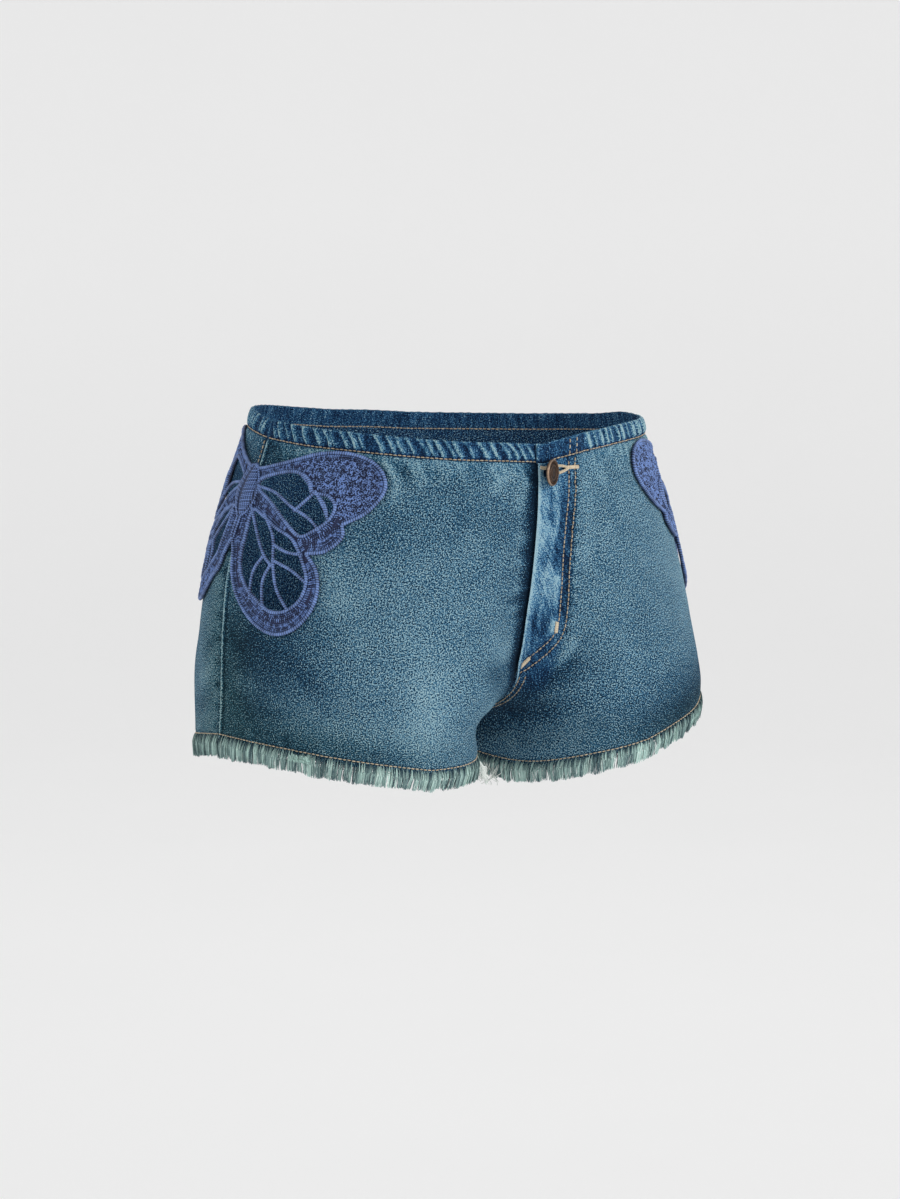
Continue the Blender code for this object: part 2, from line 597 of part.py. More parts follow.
def make_panel(name, outline, cuts, fill, place):
    """A front or back panel from its plan."""
    plan, faces = triangulate(outline, cuts, fill)
    middle = plan[faces].mean(axis=1)
    keep = inside(middle, outline)
    for cut in cuts:
        keep &= ~inside(middle, cut)
    wall(name, plan, faces[keep], place, lambda plan: np.zeros(len(plan)),
         lambda plan: np.full(len(plan), -CLOTH), DENIM)


def plain_fill(quarter, outline, cuts=()):
    """A grid of points inside a panel, closer beside the crotch."""
    grid = grid_fill(outline, cuts, PANEL_FILL_STEP, PANEL_FINE_STEP, PANEL_FINE_START)
    crotch = crotch_fill(quarter)
    gap = np.linalg.norm(grid[:, None] - crotch, axis=2).min(axis=1)
    return np.concatenate([grid[gap > FILL_CLEAR * CROTCH_FILL_STEP], crotch])


def fly_fill(quarter, outline, cuts, fly_columns):
    """A front's points: columns along the fly, and a grid beyond them."""
    grid = plain_fill(quarter, outline, cuts)
    from_centre = quarter.length(grid[:, 1]) - grid[:, 0]
    grid = grid[(from_centre > fly_columns[-1] + 0.5 * PANEL_FILL_STEP) | (grid[:, 1] > FLY_END)]
    levels = seam_levels(BAND_HEIGHT + GAP / 2, SEAM_LENGTH)
    levels = levels[(levels > levels[0]) & (levels < FLY_END - 0.5 * PANEL_FINE_STEP)]
    fly = np.array([(float(quarter.length(down)) - column, down) for down in levels for column in fly_columns])
    for cut in cuts:
        fly = fly[(distance(fly, cut) > CUT_CLEAR) & ~inside(fly, cut)]
    return np.concatenate([grid, fly])


def apart(quarter, leg, facing):
    """A quarter's place function, with points kept clear of the neighbours at its rise."""
    def place(across, down, lift):
        return keep_apart(quarter.place(across, down, lift), quarter.length(down) - across, leg, facing)
    return place


def make_panels(right, left):
    def straight(down):
        return np.zeros(len(down))

    for name, leg in (("back_right", right), ("back_left", left)):
        outline = panel_outline(leg.back, bay_outline(leg, BACK), straight)
        make_panel(name, outline, (), plain_fill(leg.back, outline), apart(leg.back, leg.side, BACK))
    outline = panel_outline(right.front, bay_outline(right, FRONT), straight, FLY_COLUMNS)
    fill = fly_fill(right.front, outline, (), FLY_COLUMNS)
    make_panel("front_right", outline, (), fill, apart(right.front, RIGHT, FRONT))
    flap_columns = (*FLY_COLUMNS, FLAP_WIDTH, FLAP_WIDTH + FLAP_SLOPE)
    outline = panel_outline(left.front, bay_outline(left, FRONT), lap, flap_columns)
    cuts = [keyhole(left.front)]
    fill = fly_fill(left.front, outline, cuts, flap_columns)
    make_panel("front_left", outline, cuts, fill, FlapSide(right, left).place)


def make_shield(left):
    """The shield behind the flap, from the waist edge to the fly's end, with one round corner."""
    quarter = left.front
    turns = np.radians(np.linspace(0.0, 90.0, 5))
    bottom = SHIELD_LENGTH - SHIELD_CORNER
    corner = [(SHIELD_WIDTH - SHIELD_CORNER * (1 - math.cos(turn)),
               bottom + SHIELD_CORNER * math.sin(turn)) for turn in turns]
    levels = seam_levels(BAND_HEIGHT + GAP / 2, SEAM_LENGTH)
    downs = [SHIELD_TOP, *levels[levels < bottom - 0.3 * SHIELD_CORNER]]
    places = [(SHIELD_WIDTH, down) for down in downs] + corner
    places += [(GAP / 2, down) for down in [SHIELD_LENGTH, *downs[::-1]]]
    places += [(column, SHIELD_TOP) for column in FLY_COLUMNS]
    outline = np.array(places)
    outline[:, 0] = quarter.length(outline[:, 1]) - outline[:, 0]
    fill = np.array([(float(quarter.length(down)) - column, down)
                     for down in levels for column in FLY_COLUMNS])
    fill = fill[inside(fill, outline) & (distance(fill, outline) > CUT_CLEAR)]
    plan, faces = triangulate(outline, (), fill)
    keep = inside(plan[faces].mean(axis=1), outline)
    wall("fly_underlap", plan, faces[keep], apart(quarter, LEFT, FRONT),
         lambda plan: np.full(len(plan), -SHIELD_SINK),
         lambda plan: np.full(len(plan), -SHIELD_SINK - SHIELD_THICKNESS), DENIM_BAND)


def make_button(right, left):
    """A shank button: a turned cap of plain rings over a shank that goes through the eye."""
    flap = FlapSide(right, left)
    across = float(left.front.length(BUTTON_DOWN)) - BUTTON_ACROSS
    foot, head = flap.place([across, across], [BUTTON_DOWN] * 2, [GAP - FLAP_RISE, SHANK_RADIUS])
    axis = Vector(head - foot)
    back = FLAP_RISE + GAP / 3
    profile = [(SHANK_RADIUS, 0.0), (SHANK_RADIUS, back)]
    profile += [(row.radius, back + row.height) for row in CAP_PROFILE]
    body = bmesh.new()
    rings = []
    for radius, height in profile:
        ring = [body.verts.new((radius * math.cos(turn), radius * math.sin(turn), height))
                for turn in np.arange(BUTTON_SIDES) * 2 * math.pi / BUTTON_SIDES]
        rings.append(ring)
    for lower, upper in zip(rings, rings[1:]):
        for index in range(BUTTON_SIDES):
            after = (index + 1) % BUTTON_SIDES
            body.faces.new((lower[index], lower[after], upper[after], upper[index]))
    body.faces.new(rings[0][::-1])
    body.faces.new(rings[-1])
    turn = axis.to_track_quat("Z", "Y").to_matrix().to_4x4()
    bmesh.ops.transform(body, matrix=Matrix.Translation(Vector(foot)) @ turn, verts=body.verts)
    mesh = bpy.data.meshes.new("button")
    body.to_mesh(mesh)
    body.free()
    make_object("button", mesh, BRASS)


# ---------------------------------------------------------------- waist casing

def gather_stations(start, end):
    """Stations along a casing and the swell at each, 0 in a trough and up to 1 on a crest."""
    gathers = round((end - start) / GATHER_PITCH)
    phase = np.arange(gathers * GATHER_COLUMNS + 1) / GATHER_COLUMNS
    wander = GATHER_UNEVEN * np.sin(1.9 * phase) * np.sin(phase * math.pi / gathers)
    stations = start + (end - start) * phase / gathers + 0.5 * wander
    crest = 0.5 - 0.5 * np.cos(2 * math.pi * phase)
    height = 0.75 + 0.25 * np.sin(2.7 * np.floor(phase) + 0.6)
    return stations, crest * height


def make_casing(name, place, start, end, flat_start, flat_end, slant):
    """A length of gathered casing between two ends, smooth for a width beside each.

    slant is the gathers' sideways travel for each unit of height.
    """
    first = start + flat_start
    last = end - flat_end
    stations, swell = gather_stations(first, last)
    lead = np.linspace(start, first, max(2, round(flat_start / BAND_STEP) + 1))[:-1]
    trail = np.linspace(last, end, max(2, round(flat_end / BAND_STEP) + 1))[1:]
    stations = np.concatenate([lead, stations, trail])
    swell = np.concatenate([0 * lead, swell, 0 * trail])
    room = smooth(np.minimum(stations - first, last - stations) / BAND_FLAT)
    count = len(stations)
    points = []
    for ring in BAND_RINGS:
        down = ring.height * (BAND_HEIGHT - GAP / 2)
        shifted = stations + slant * (down - 0.5 * BAND_HEIGHT) * room
        lift = ring.lift + ring.swell * room * (BAND_PUFF + GATHER_HEIGHT * swell)
        points.append(place(shifted, np.full(count, down), lift))
    rings = len(BAND_RINGS)
    points = np.concatenate(points)
    faces = []
    for ring in range(rings):
        after = (ring + 1) % rings
        faces += [(ring * count + index, ring * count + index + 1,
                   after * count + index + 1, after * count + index) for index in range(count - 1)]
    faces.append(tuple(ring * count for ring in range(rings)))
    faces.append(tuple((ring + 1) * count - 1 for ring in reversed(range(rings))))
    make_object(name, mesh_from(name, points, faces), DENIM_BAND, 60.0)


def make_casings(right, left):
    edge = GAP / 2
    flap = FlapSide(right, left)
    right_end = float(right.front.length(0.0)) - edge
    left_end = float(left.front.length(0.0)) + float(lap(0.0)[0])

    middle = {leg: float(leg.back.length(0.0)) for leg in (right, left)}

    def widened(quarter, across, down, end):
        """Stations of the waist edge, spread to the section's length lower down."""
        return across * (1.0 + (quarter.length(down) - quarter.length(0.0)) / end)

    def place_left(across, down, lift):
        return flap.place(widened(left.front, across, down, left_end), down, lift)

    def place_right(across, down, lift):
        return apart(right.front, RIGHT, FRONT)(widened(right.front, across, down, right_end), down, lift)

    def place_back(along, down, lift):
        """Along runs from the right side seam (negative) over the centre back to the left one."""
        points = np.empty((len(along), 3))
        for leg, side in ((right, along < 0.0), (left, along >= 0.0)):
            share = np.abs(along[side]) / middle[leg]
            across = leg.back.length(down[side]) * (1.0 - share)
            points[side] = leg.back.place(across, down[side], lift[side])
        return points

    flap_width = FLAP_WIDTH + FLAP_SLOPE + float(lap(0.0)[0])
    right_slant, left_slant, back_slant = GATHER_SLANTS
    make_casing("band_front_right", place_right, edge, right_end, BAND_FLAT / 2, BAND_FLAT, right_slant)
    make_casing("band_front_left", place_left, edge, left_end, BAND_FLAT / 2, flap_width, left_slant)
    make_casing("band_back", place_back, edge - middle[right], middle[left] - edge,
                BAND_FLAT / 2, BAND_FLAT / 2, back_slant)


# ---------------------------------------------------------------- hip lace

def mirrored(curve):
    """The back half's copy of a front half's closed curve."""
    return curve[::-1] * (-1, 1)


def vein_strip(route):
    """The outline of a cord, from its middle line."""
    line = rounded(route, LACE_STEP / MM) * MM
    heading = np.gradient(line, axis=0)
    heading /= np.linalg.norm(heading, axis=1, keepdims=True)
    square = np.stack([-heading[:, 1], heading[:, 0]], 1) * VEIN_HALF_WIDTH
    return np.concatenate([line + square, (line - square)[::-1]])


def lace_plan():
    """The lace's outline, its windows, its cords and the triangles that are left."""
    step = LACE_STEP / MM
    half = np.concatenate([rounded(arc, step)[:-1] for arc in WING_EDGE] + [[WING_EDGE[-1][-1]]]) * MM
    outline = np.concatenate([half, (half[1:-1] * (-1, 1))[::-1]])
    windows = [rounded(window, step, closed=True) * MM for window in (UPPER_WINDOW, LOWER_WINDOW)]
    veins = [vein_strip(route) for route in VEINS]
    windows += [mirrored(window) for window in windows]
    veins += [mirrored(vein) for vein in veins]
    fill = grid_fill(outline, windows, LACE_FILL_STEP)
    rim = rim_points(outline)
    gap = np.linalg.norm(fill[:, None] - rim, axis=2).min(axis=1)
    fill = fill[gap > FILL_CLEAR * LACE_FILL_STEP]
    fill = np.concatenate([fill, rim])
    for window in windows:
        fill = fill[~inside(fill, window)]
    plan, faces = triangulate(outline, windows + veins, fill)
    middle = plan[faces].mean(axis=1)
    keep = inside(middle, outline)
    open_to = np.zeros(len(middle), bool)
    corded = np.zeros(len(middle), bool)
    for window in windows:
        open_to |= inside(middle, window)
    for vein in veins:
        corded |= inside(middle, vein)
    return outline, windows, veins, plan, faces[keep & (corded | ~open_to)]


def rim_points(outline):
    """Points just inside the lace's edge, where its raised rim comes down to the ground."""
    heading = np.roll(outline, -1, axis=0) - np.roll(outline, 1, axis=0)
    heading /= np.linalg.norm(heading, axis=1, keepdims=True)
    square = np.stack([-heading[:, 1], heading[:, 0]], 1) * RIM_WIDTH
    points = np.concatenate([outline + square, outline - square])
    points = points[inside(points, outline)]
    return points[distance(points, outline) > RIM_CLEAR * RIM_WIDTH]


def make_lace(name, leg):
    """An openwork butterfly over the hip: raised cords and rims on a plain inside."""
    outline, windows, veins, plan, faces = lace_plan()

    def outer(plan):
        near = distance(plan, outline)
        for window in windows:
            near = np.minimum(near, distance(plan, window))
        for vein in veins:
            near = np.minimum(near, np.where(inside(plan, vein), 0.0, distance(plan, vein)))
        return LACE_FILL + (LACE_CORD - LACE_FILL) * (1.0 - smooth(near / RIM_WIDTH))

    wall(name, plan, faces, leg.place_wing, outer, lambda plan: np.full(len(plan), LACE_CLEAR), LACE)


# ---------------------------------------------------------------- frayed hem

def make_fringe(name, leg, seed):
    """A narrow strip of weave below the raw edge, with the locks that hang from it."""
    rng = np.random.default_rng(seed)
    hem = SEAM_LENGTH
    front, back = float(leg.front.length(hem)), float(leg.back.length(hem))
    around = front + back
    pitch = around / LOCKS
    starts = (np.arange(LOCKS) + rng.uniform(-0.12, 0.12, LOCKS)) * pitch
    stations = np.stack([starts, starts + LOCK_SHARE * pitch], 1).ravel()

    def place(station, down, lift):
        """Station runs from the side seam over the front to the inseam, and on over the back."""
        station = np.mod(station, around)
        across = np.where(station <= front, station, station - around)
        return leg.place(across, np.broadcast_to(down, station.shape), np.broadcast_to(lift, station.shape))

    top, bottom = hem + GAP, hem + GAP + STRIP_HEIGHT
    rings = [place(stations, top, 0.0), place(stations, bottom, 0.0),
             place(stations, bottom, -LOCK_THICKNESS), place(stations, top, -LOCK_THICKNESS)]
    count = 2 * LOCKS
    points = list(np.concatenate(rings))
    faces = []
    for index in range(count):
        after = (index + 1) % count
        for ring in (0, 2, 3):
            other = (ring + 1) % 4
            faces.append((ring * count + index, ring * count + after,
                          other * count + after, other * count + index))
        if index % 2:
            faces.append((count + index, count + after, 2 * count + after, 2 * count + index))
    length = LOCK_LENGTH - STRIP_HEIGHT + rng.uniform(-1.0, 0.6, LOCKS) * LOCK_UNEVEN
    swing = rng.uniform(-1.0, 1.0, LOCKS) * LOCK_SWING
    flare = rng.uniform(-0.3, 1.0, LOCKS) * LOCK_FLARE
    for lock in range(LOCKS):
        left, right = 2 * lock, 2 * lock + 1
        root = [count + left, count + right, 2 * count + right, 2 * count + left]
        middle = 0.5 * (stations[left] + stations[right]) + swing[lock]
        half = 0.5 * LOCK_TIP_SHARE * (stations[right] - stations[left])
        ends = np.array([middle - half, middle + half, middle + half, middle - half])
        lifts = flare[lock] - LOCK_THICKNESS * np.array([0.25, 0.25, 0.75, 0.75])
        first = len(points)
        points += list(place(ends, bottom + length[lock], lifts))
        tip = [first, first + 1, first + 2, first + 3]
        faces += [(root[side], root[(side + 1) % 4], tip[(side + 1) % 4], tip[side]) for side in range(4)]
        faces.append(tuple(tip))
    make_object(name, mesh_from(name, points, faces), FRAY, 60.0)


def main():
    for old in list(bpy.data.objects):
        bpy.data.objects.remove(old, do_unlink=True)
    right, left = Leg(RIGHT), Leg(LEFT)
    make_panels(right, left)
    make_shield(left)
    make_button(right, left)
    make_casings(right, left)
    make_lace("butterfly_right", right)
    make_lace("butterfly_left", left)
    make_fringe("fringe_right", right, seed=11)
    make_fringe("fringe_left", left, seed=12)


main()
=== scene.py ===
"""Low-rise denim shorts, hollow and filled out as worn: cloth, sewing, lace, frayed hem and button.

Metres, +Z up, the front faces -Y and the wearer's left is +X. A place on the cloth is (across, down,
lift): across is measured along the cloth from the side seam, down along the side seam from the waist
edge, and lift is the height over the skin on which every piece is laid. Tables of creases, of wash,
wear and painted shade, and of lace are in millimetres.
"""

import math
from collections import namedtuple

import bmesh
import bpy
import numpy as np
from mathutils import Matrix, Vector
from mathutils.geometry import delaunay_2d_cdt


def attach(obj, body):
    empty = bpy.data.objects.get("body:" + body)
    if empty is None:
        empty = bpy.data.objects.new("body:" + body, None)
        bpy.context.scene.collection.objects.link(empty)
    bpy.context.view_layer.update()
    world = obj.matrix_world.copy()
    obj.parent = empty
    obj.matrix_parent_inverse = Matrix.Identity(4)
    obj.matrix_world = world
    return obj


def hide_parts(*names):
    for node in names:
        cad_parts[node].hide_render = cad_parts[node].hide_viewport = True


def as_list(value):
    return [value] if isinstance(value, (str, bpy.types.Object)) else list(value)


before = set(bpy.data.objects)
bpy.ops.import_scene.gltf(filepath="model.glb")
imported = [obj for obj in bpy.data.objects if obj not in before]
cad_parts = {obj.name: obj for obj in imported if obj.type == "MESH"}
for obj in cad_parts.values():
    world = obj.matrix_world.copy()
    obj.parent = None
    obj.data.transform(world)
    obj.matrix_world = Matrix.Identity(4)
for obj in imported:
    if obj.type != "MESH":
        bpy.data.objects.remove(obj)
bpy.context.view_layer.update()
MM = 0.001

# Camera and room
PHOTO_HEIGHT = 1199         # pixels
TARGET = Vector((0.0, 0.0, -0.1035))
DISTANCE = 2.2
AZIMUTH, ELEVATION = -32.0, 6.0
SCALE = 1600.0              # pixels for a metre at the target
SENSOR = 36.0
FLOOR_Z = -0.75
Lamp = namedtuple("Lamp", "azimuth elevation distance size power")
LAMPS = (
    Lamp(30.0, 20.0, 2.6, 1.4, 26.0),       # key, from the wearer's left front
    Lamp(-60.0, 30.0, 2.8, 2.0, 7.0),       # fill
    Lamp(150.0, 40.0, 2.8, 2.0, 12.0),      # back
)
PALE, PALE_GRAIN = 0.45, 0.01   # the room's reflectance, and how far it varies
ROOM_GLOW = 0.475
ROOM_LIGHT = 0.30
FLOOR_RADII = (0.0, 1.5, 3.0, 3.6)
WALL_BEND = 0.9             # radius of the curve between the floor and the wall
WALL_TOP = 3.5
ROOM_SIDES = 48

# Driving sizes
SEAM_LENGTH = 206 * MM      # the side seam, waist edge to raw edge
CLOTH = 1.4 * MM            # thickness of the denim
GAP = 0.3 * MM              # round the fly's shield and the button
SEAM_LAP = 0.25 * MM        # the panels' top edges go this far up into the casing
BAND_HEIGHT = 12 * MM       # the gathered waist casing
RIGHT, LEFT = -1, 1         # the wearer's legs, by the sign of x
FRONT, BACK = -1, 1         # by the sign of y

# The skin: each row is a section of one leg. The rise is the centre seam down to the crotch and
# the inseam below it. turn is the angle at which the section leaves the rise, in degrees, and
# fore is the section's foremost or rearmost point. square fills out the corner to the side.
SideRow = namedtuple("SideRow", "section level x y z")
SIDE_SEAM = (
    SideRow("waist",    0.00, 0.1275, -0.002,  0.016),
    SideRow("band",     0.07, 0.1315, -0.002,  0.002),
    SideRow("high_hip", 0.25, 0.1440, -0.002, -0.034),
    SideRow("hip",      0.45, 0.1543,  0.004, -0.073),
    SideRow("low_hip",  0.65, 0.1582,  0.006, -0.110),
    SideRow("thigh",    0.80, 0.1604,  0.004, -0.138),
    SideRow("crotch",   0.91, 0.1622,  0.002, -0.157),
    SideRow("hem",      1.00, 0.1635,  0.002, -0.171),
)
SECTION_COLUMNS = "rise_x rise_y rise_z turn fore_x fore_y fore_z square"
PanelRow = namedtuple("PanelRow", "section level " + SECTION_COLUMNS)
FRONT_SECTIONS = (
    PanelRow("waist",    0.00, 0.000, -0.1030, -0.002,  0, 0.014, -0.1030, -0.001, 0.47),
    PanelRow("band",     0.07, 0.000, -0.1035, -0.016,  0, 0.016, -0.1037, -0.015, 0.47),
    PanelRow("high_hip", 0.25, 0.000, -0.1015, -0.052,  0, 0.028, -0.1040, -0.051, 0.49),
    PanelRow("hip",      0.45, 0.000, -0.0960, -0.092,  3, 0.042, -0.1060, -0.091, 0.53),
    PanelRow("low_hip",  0.65, 0.000, -0.0825, -0.131, 18, 0.058, -0.1085, -0.130, 0.57),
    PanelRow("thigh",    0.80, 0.000, -0.0560, -0.161, 45, 0.072, -0.1090, -0.160, 0.58),
    PanelRow("crotch",   0.91, 0.000,  0.0040, -0.182, 64, 0.078, -0.1070, -0.180, 0.58),
    PanelRow("hem",      1.00, 0.006,  0.0040, -0.197, 80, 0.078, -0.1040, -0.194, 0.58),
)
BACK_SECTIONS = (
    PanelRow("waist",    0.00, 0.000,  0.0985,  0.009,  0, 0.030,  0.0975,  0.009, 0.52),
    PanelRow("band",     0.07, 0.000,  0.1025, -0.005,  0, 0.030,  0.1020, -0.005, 0.52),
    PanelRow("high_hip", 0.25, 0.000,  0.1140, -0.043,  0, 0.040,  0.1160, -0.042, 0.49),
    PanelRow("hip",      0.45, 0.000,  0.1170, -0.086,  8, 0.055,  0.1230, -0.085, 0.46),
    PanelRow("low_hip",  0.65, 0.000,  0.1040, -0.131, 30, 0.070,  0.1230, -0.128, 0.48),
    PanelRow("thigh",    0.80, 0.000,  0.0700, -0.164, 60, 0.080,  0.1170, -0.160, 0.52),
    PanelRow("crotch",   0.91, 0.000,  0.0040, -0.182, 80, 0.084,  0.1100, -0.180, 0.52),
    PanelRow("hem",      1.00, 0.006,  0.0040, -0.197, 80, 0.084,  0.1060, -0.195, 0.52),
)
# Handles of a section's two curves: across at the rise and the fore point, as a share of the way
# between them, and the shares of the fall to the fore point and of the climb to the side
HANDLE_REACH = 0.42
LEAVE_FALL, ARRIVE_FALL = 0.4, 0.25
CORNER_CLIMB, CLOSE_CLIMB = 0.33, 0.25

# The shorts hang a little askew: the waist tips down and the hem tips up toward the wearer's left,
# by so much for each metre of x. The waist edge and the hem also drop by these lengths, from the
# rise (share 0) to the side (share 1); a drop below 0 is a rise.
WAIST_SWAY, HEM_SWAY = -0.040, 0.055
DropRow = namedtuple("DropRow", "share front_right front_left back_right back_left")
WAIST_DROP = (
    DropRow(0.00, -1.0 * MM, -1.0 * MM, -2.0 * MM, -2.0 * MM),
    DropRow(0.10,  0.0 * MM, -4.0 * MM, -2.0 * MM, -1.5 * MM),
    DropRow(0.30,  3.5 * MM, -6.0 * MM, -2.0 * MM,  0.0 * MM),
    DropRow(0.65,  7.0 * MM, -4.0 * MM, -0.5 * MM,  1.5 * MM),
    DropRow(0.85,  8.3 * MM, -1.5 * MM,  3.5 * MM,  1.5 * MM),
    DropRow(1.00,  8.3 * MM,  0.0 * MM,  8.3 * MM,  0.0 * MM),
)
HEM_DROP = (
    DropRow(0.00, -2.0 * MM,   2.0 * MM, -2.0 * MM,  2.0 * MM),
    DropRow(0.20, -4.0 * MM,   9.0 * MM, -2.0 * MM,  2.0 * MM),
    DropRow(0.40, -2.5 * MM,   2.0 * MM,  0.0 * MM,  0.0 * MM),
    DropRow(0.60, -4.5 * MM,  -5.0 * MM,  0.0 * MM, -1.0 * MM),
    DropRow(0.80, -4.0 * MM,  -5.0 * MM,  0.0 * MM, -2.0 * MM),
    DropRow(1.00,  0.0 * MM,  -2.0 * MM,  0.0 * MM, -2.0 * MM),
)
WAIST_DROP_END = 0.40       # level where the waist edge's drop has faded away
HEM_DROP_START = 0.70       # level where the hem's drop begins
CROTCH_LEVEL = 0.91         # level where it begins at the rise, whose two sides stay joined above
RISE_SHARE = 0.25           # between the two, over this share of the way to the side
INSEAM_Y = FRONT_SECTIONS[-1].rise_y
RISE_MARGIN = 4 * MM        # points this near the rise are kept on their own side of it
SEAM_CLOSE = 1.5 * MM       # and an edge this near the middle plane is brought onto it

LEVELS, STATIONS = 131, 131     # the skin's grid

# Fly: the left front laps over the right one and its shield lies behind
FLAP_RISE = 2.0 * MM        # lift of the flap over the shield
FLAP_WIDTH = 25 * MM        # from the centre to the end of the full lift
FLAP_SLOPE = 7 * MM         # the lift runs out over this width
FLAP_FADE = (0.70, 0.80)    # levels over which the lift ends
LapRow = namedtuple("LapRow", "level lap")
LAP = (LapRow(0.00, 4.6 * MM), LapRow(0.20, 3.6 * MM), LapRow(0.42, 5.4 * MM), LapRow(0.58, 6.6 * MM),
       LapRow(0.67, 4.8 * MM), LapRow(0.74, 0.8 * MM), LapRow(0.78, 0.0 * MM), LapRow(1.00, 0.0 * MM))
SHIELD_WIDTH = 22 * MM
SHIELD_LENGTH = 141 * MM
SHIELD_CORNER = 14 * MM
SHIELD_TOP = 0.6 * MM
SHIELD_THICKNESS = 1.2 * MM
BUTTON_ACROSS = 3.4 * MM    # from the centre front
BUTTON_DOWN = 17.8 * MM
SHANK_RADIUS = 2.4 * MM
EYE_RADIUS = 3.2 * MM
SLIT_WIDTH = 1.0 * MM
SLIT_END = (16.6 * MM, 17.9 * MM)   # from the centre front, and down
EYE_POINTS = 20

# Hip lace: half of a butterfly whose body lies on the side seam, as (across, down) in millimetres.
# The back half is its mirror image.
WING_EDGE = (
    ((0, 29), (5, 31), (22, 25), (46, 15), (67, 13.5), (83, 20), (90.5, 33), (85, 48), (73, 58)),
    ((73, 58), (76, 66), (70, 75), (59, 78)),
    ((59, 78), (69, 87), (73.5, 99), (71.5, 112), (63, 123), (50, 128), (34, 124), (19, 113),
     (9, 99), (5, 86), (0, 77)),
)
UPPER_WINDOW = ((9, 38), (20, 32), (33, 28.5), (43, 32), (49, 40), (59, 41), (65.5, 47.5), (64, 57),
                (57, 65), (50, 68.5), (36, 60), (22, 50), (11, 44))
LOWER_WINDOW = ((11, 58), (21, 60), (34, 66), (47, 71), (58, 82), (65, 93), (64, 105), (56, 113),
                (45, 115), (34, 110), (23, 103), (15, 92), (12, 75))
VEINS = (
    ((7, 42), (24, 44), (38, 51), (52, 57), (63, 65)),
    ((41, 54), (51, 39)),
    ((50, 39), (58, 48), (65, 58)),
    ((9, 56), (21, 71), (32, 83), (41, 89)),
    ((21, 58), (34, 72), (41, 89)),
    ((36, 76), (47, 79), (58, 79)),
    ((40, 85), (54, 89), (66, 95)),
    ((32, 83), (27, 94), (28, 111)),
    ((39, 87), (36, 99), (40, 116)),
    ((40, 86), (47, 101), (58, 113)),
)
DENIM_BAY = ((10, 33), (21, 28), (34, 25), (47, 28), (54, 36), (63, 37.5), (69.5, 46.5), (68, 59),
             (61, 68), (56, 74), (63, 83), (69.5, 93), (68.5, 106), (60, 116), (46, 119.5), (32, 115),
             (20, 107), (11.5, 96), (8.5, 85), (3.5, 76))
BAY_TOP, BAY_BOTTOM = 36 * MM, 73 * MM  # where the bay meets the side seam
WING_LEAN = 0.38            # the left butterfly's front wings lean forward by this slope
WING_LEAN_DOWN = 75 * MM    # about this place down the seam
WING_ROOT = 50 * MM         # the lean comes in over this width from the body
WING_SHORT = 12 * MM        # the back wings end this much higher than the front ones
WING_SHORT_ROWS = (60 * MM, 120 * MM)   # down from here to here this comes in
BODY_WIDTH = 20 * MM        # the butterfly's body and the roots of its wings stay put

# Meshes of cloth
EDGE_STEP = 2.4 * MM        # between points on a panel's edge
FILL_STEP = 2.7 * MM        # between points inside it
FINE_STEP = 1.4 * MM        # and where the casing, the seams and the fly gather it
FINE_BELOW_WAIST, FINE_BY_CENTRE, FINE_BY_SIDE = 32 * MM, 30 * MM, 9 * MM
EDGE_ROWS = (0.5 * MM, 1.3 * MM)    # rows of points along each edge
EDGE_ROUND = 0.55 * MM      # how far the faces turn in at an edge
GRID_ROW = 0.87             # the rows of a staggered grid are this share of a step apart
TINY = 1e-18                # keeps a division away from 0

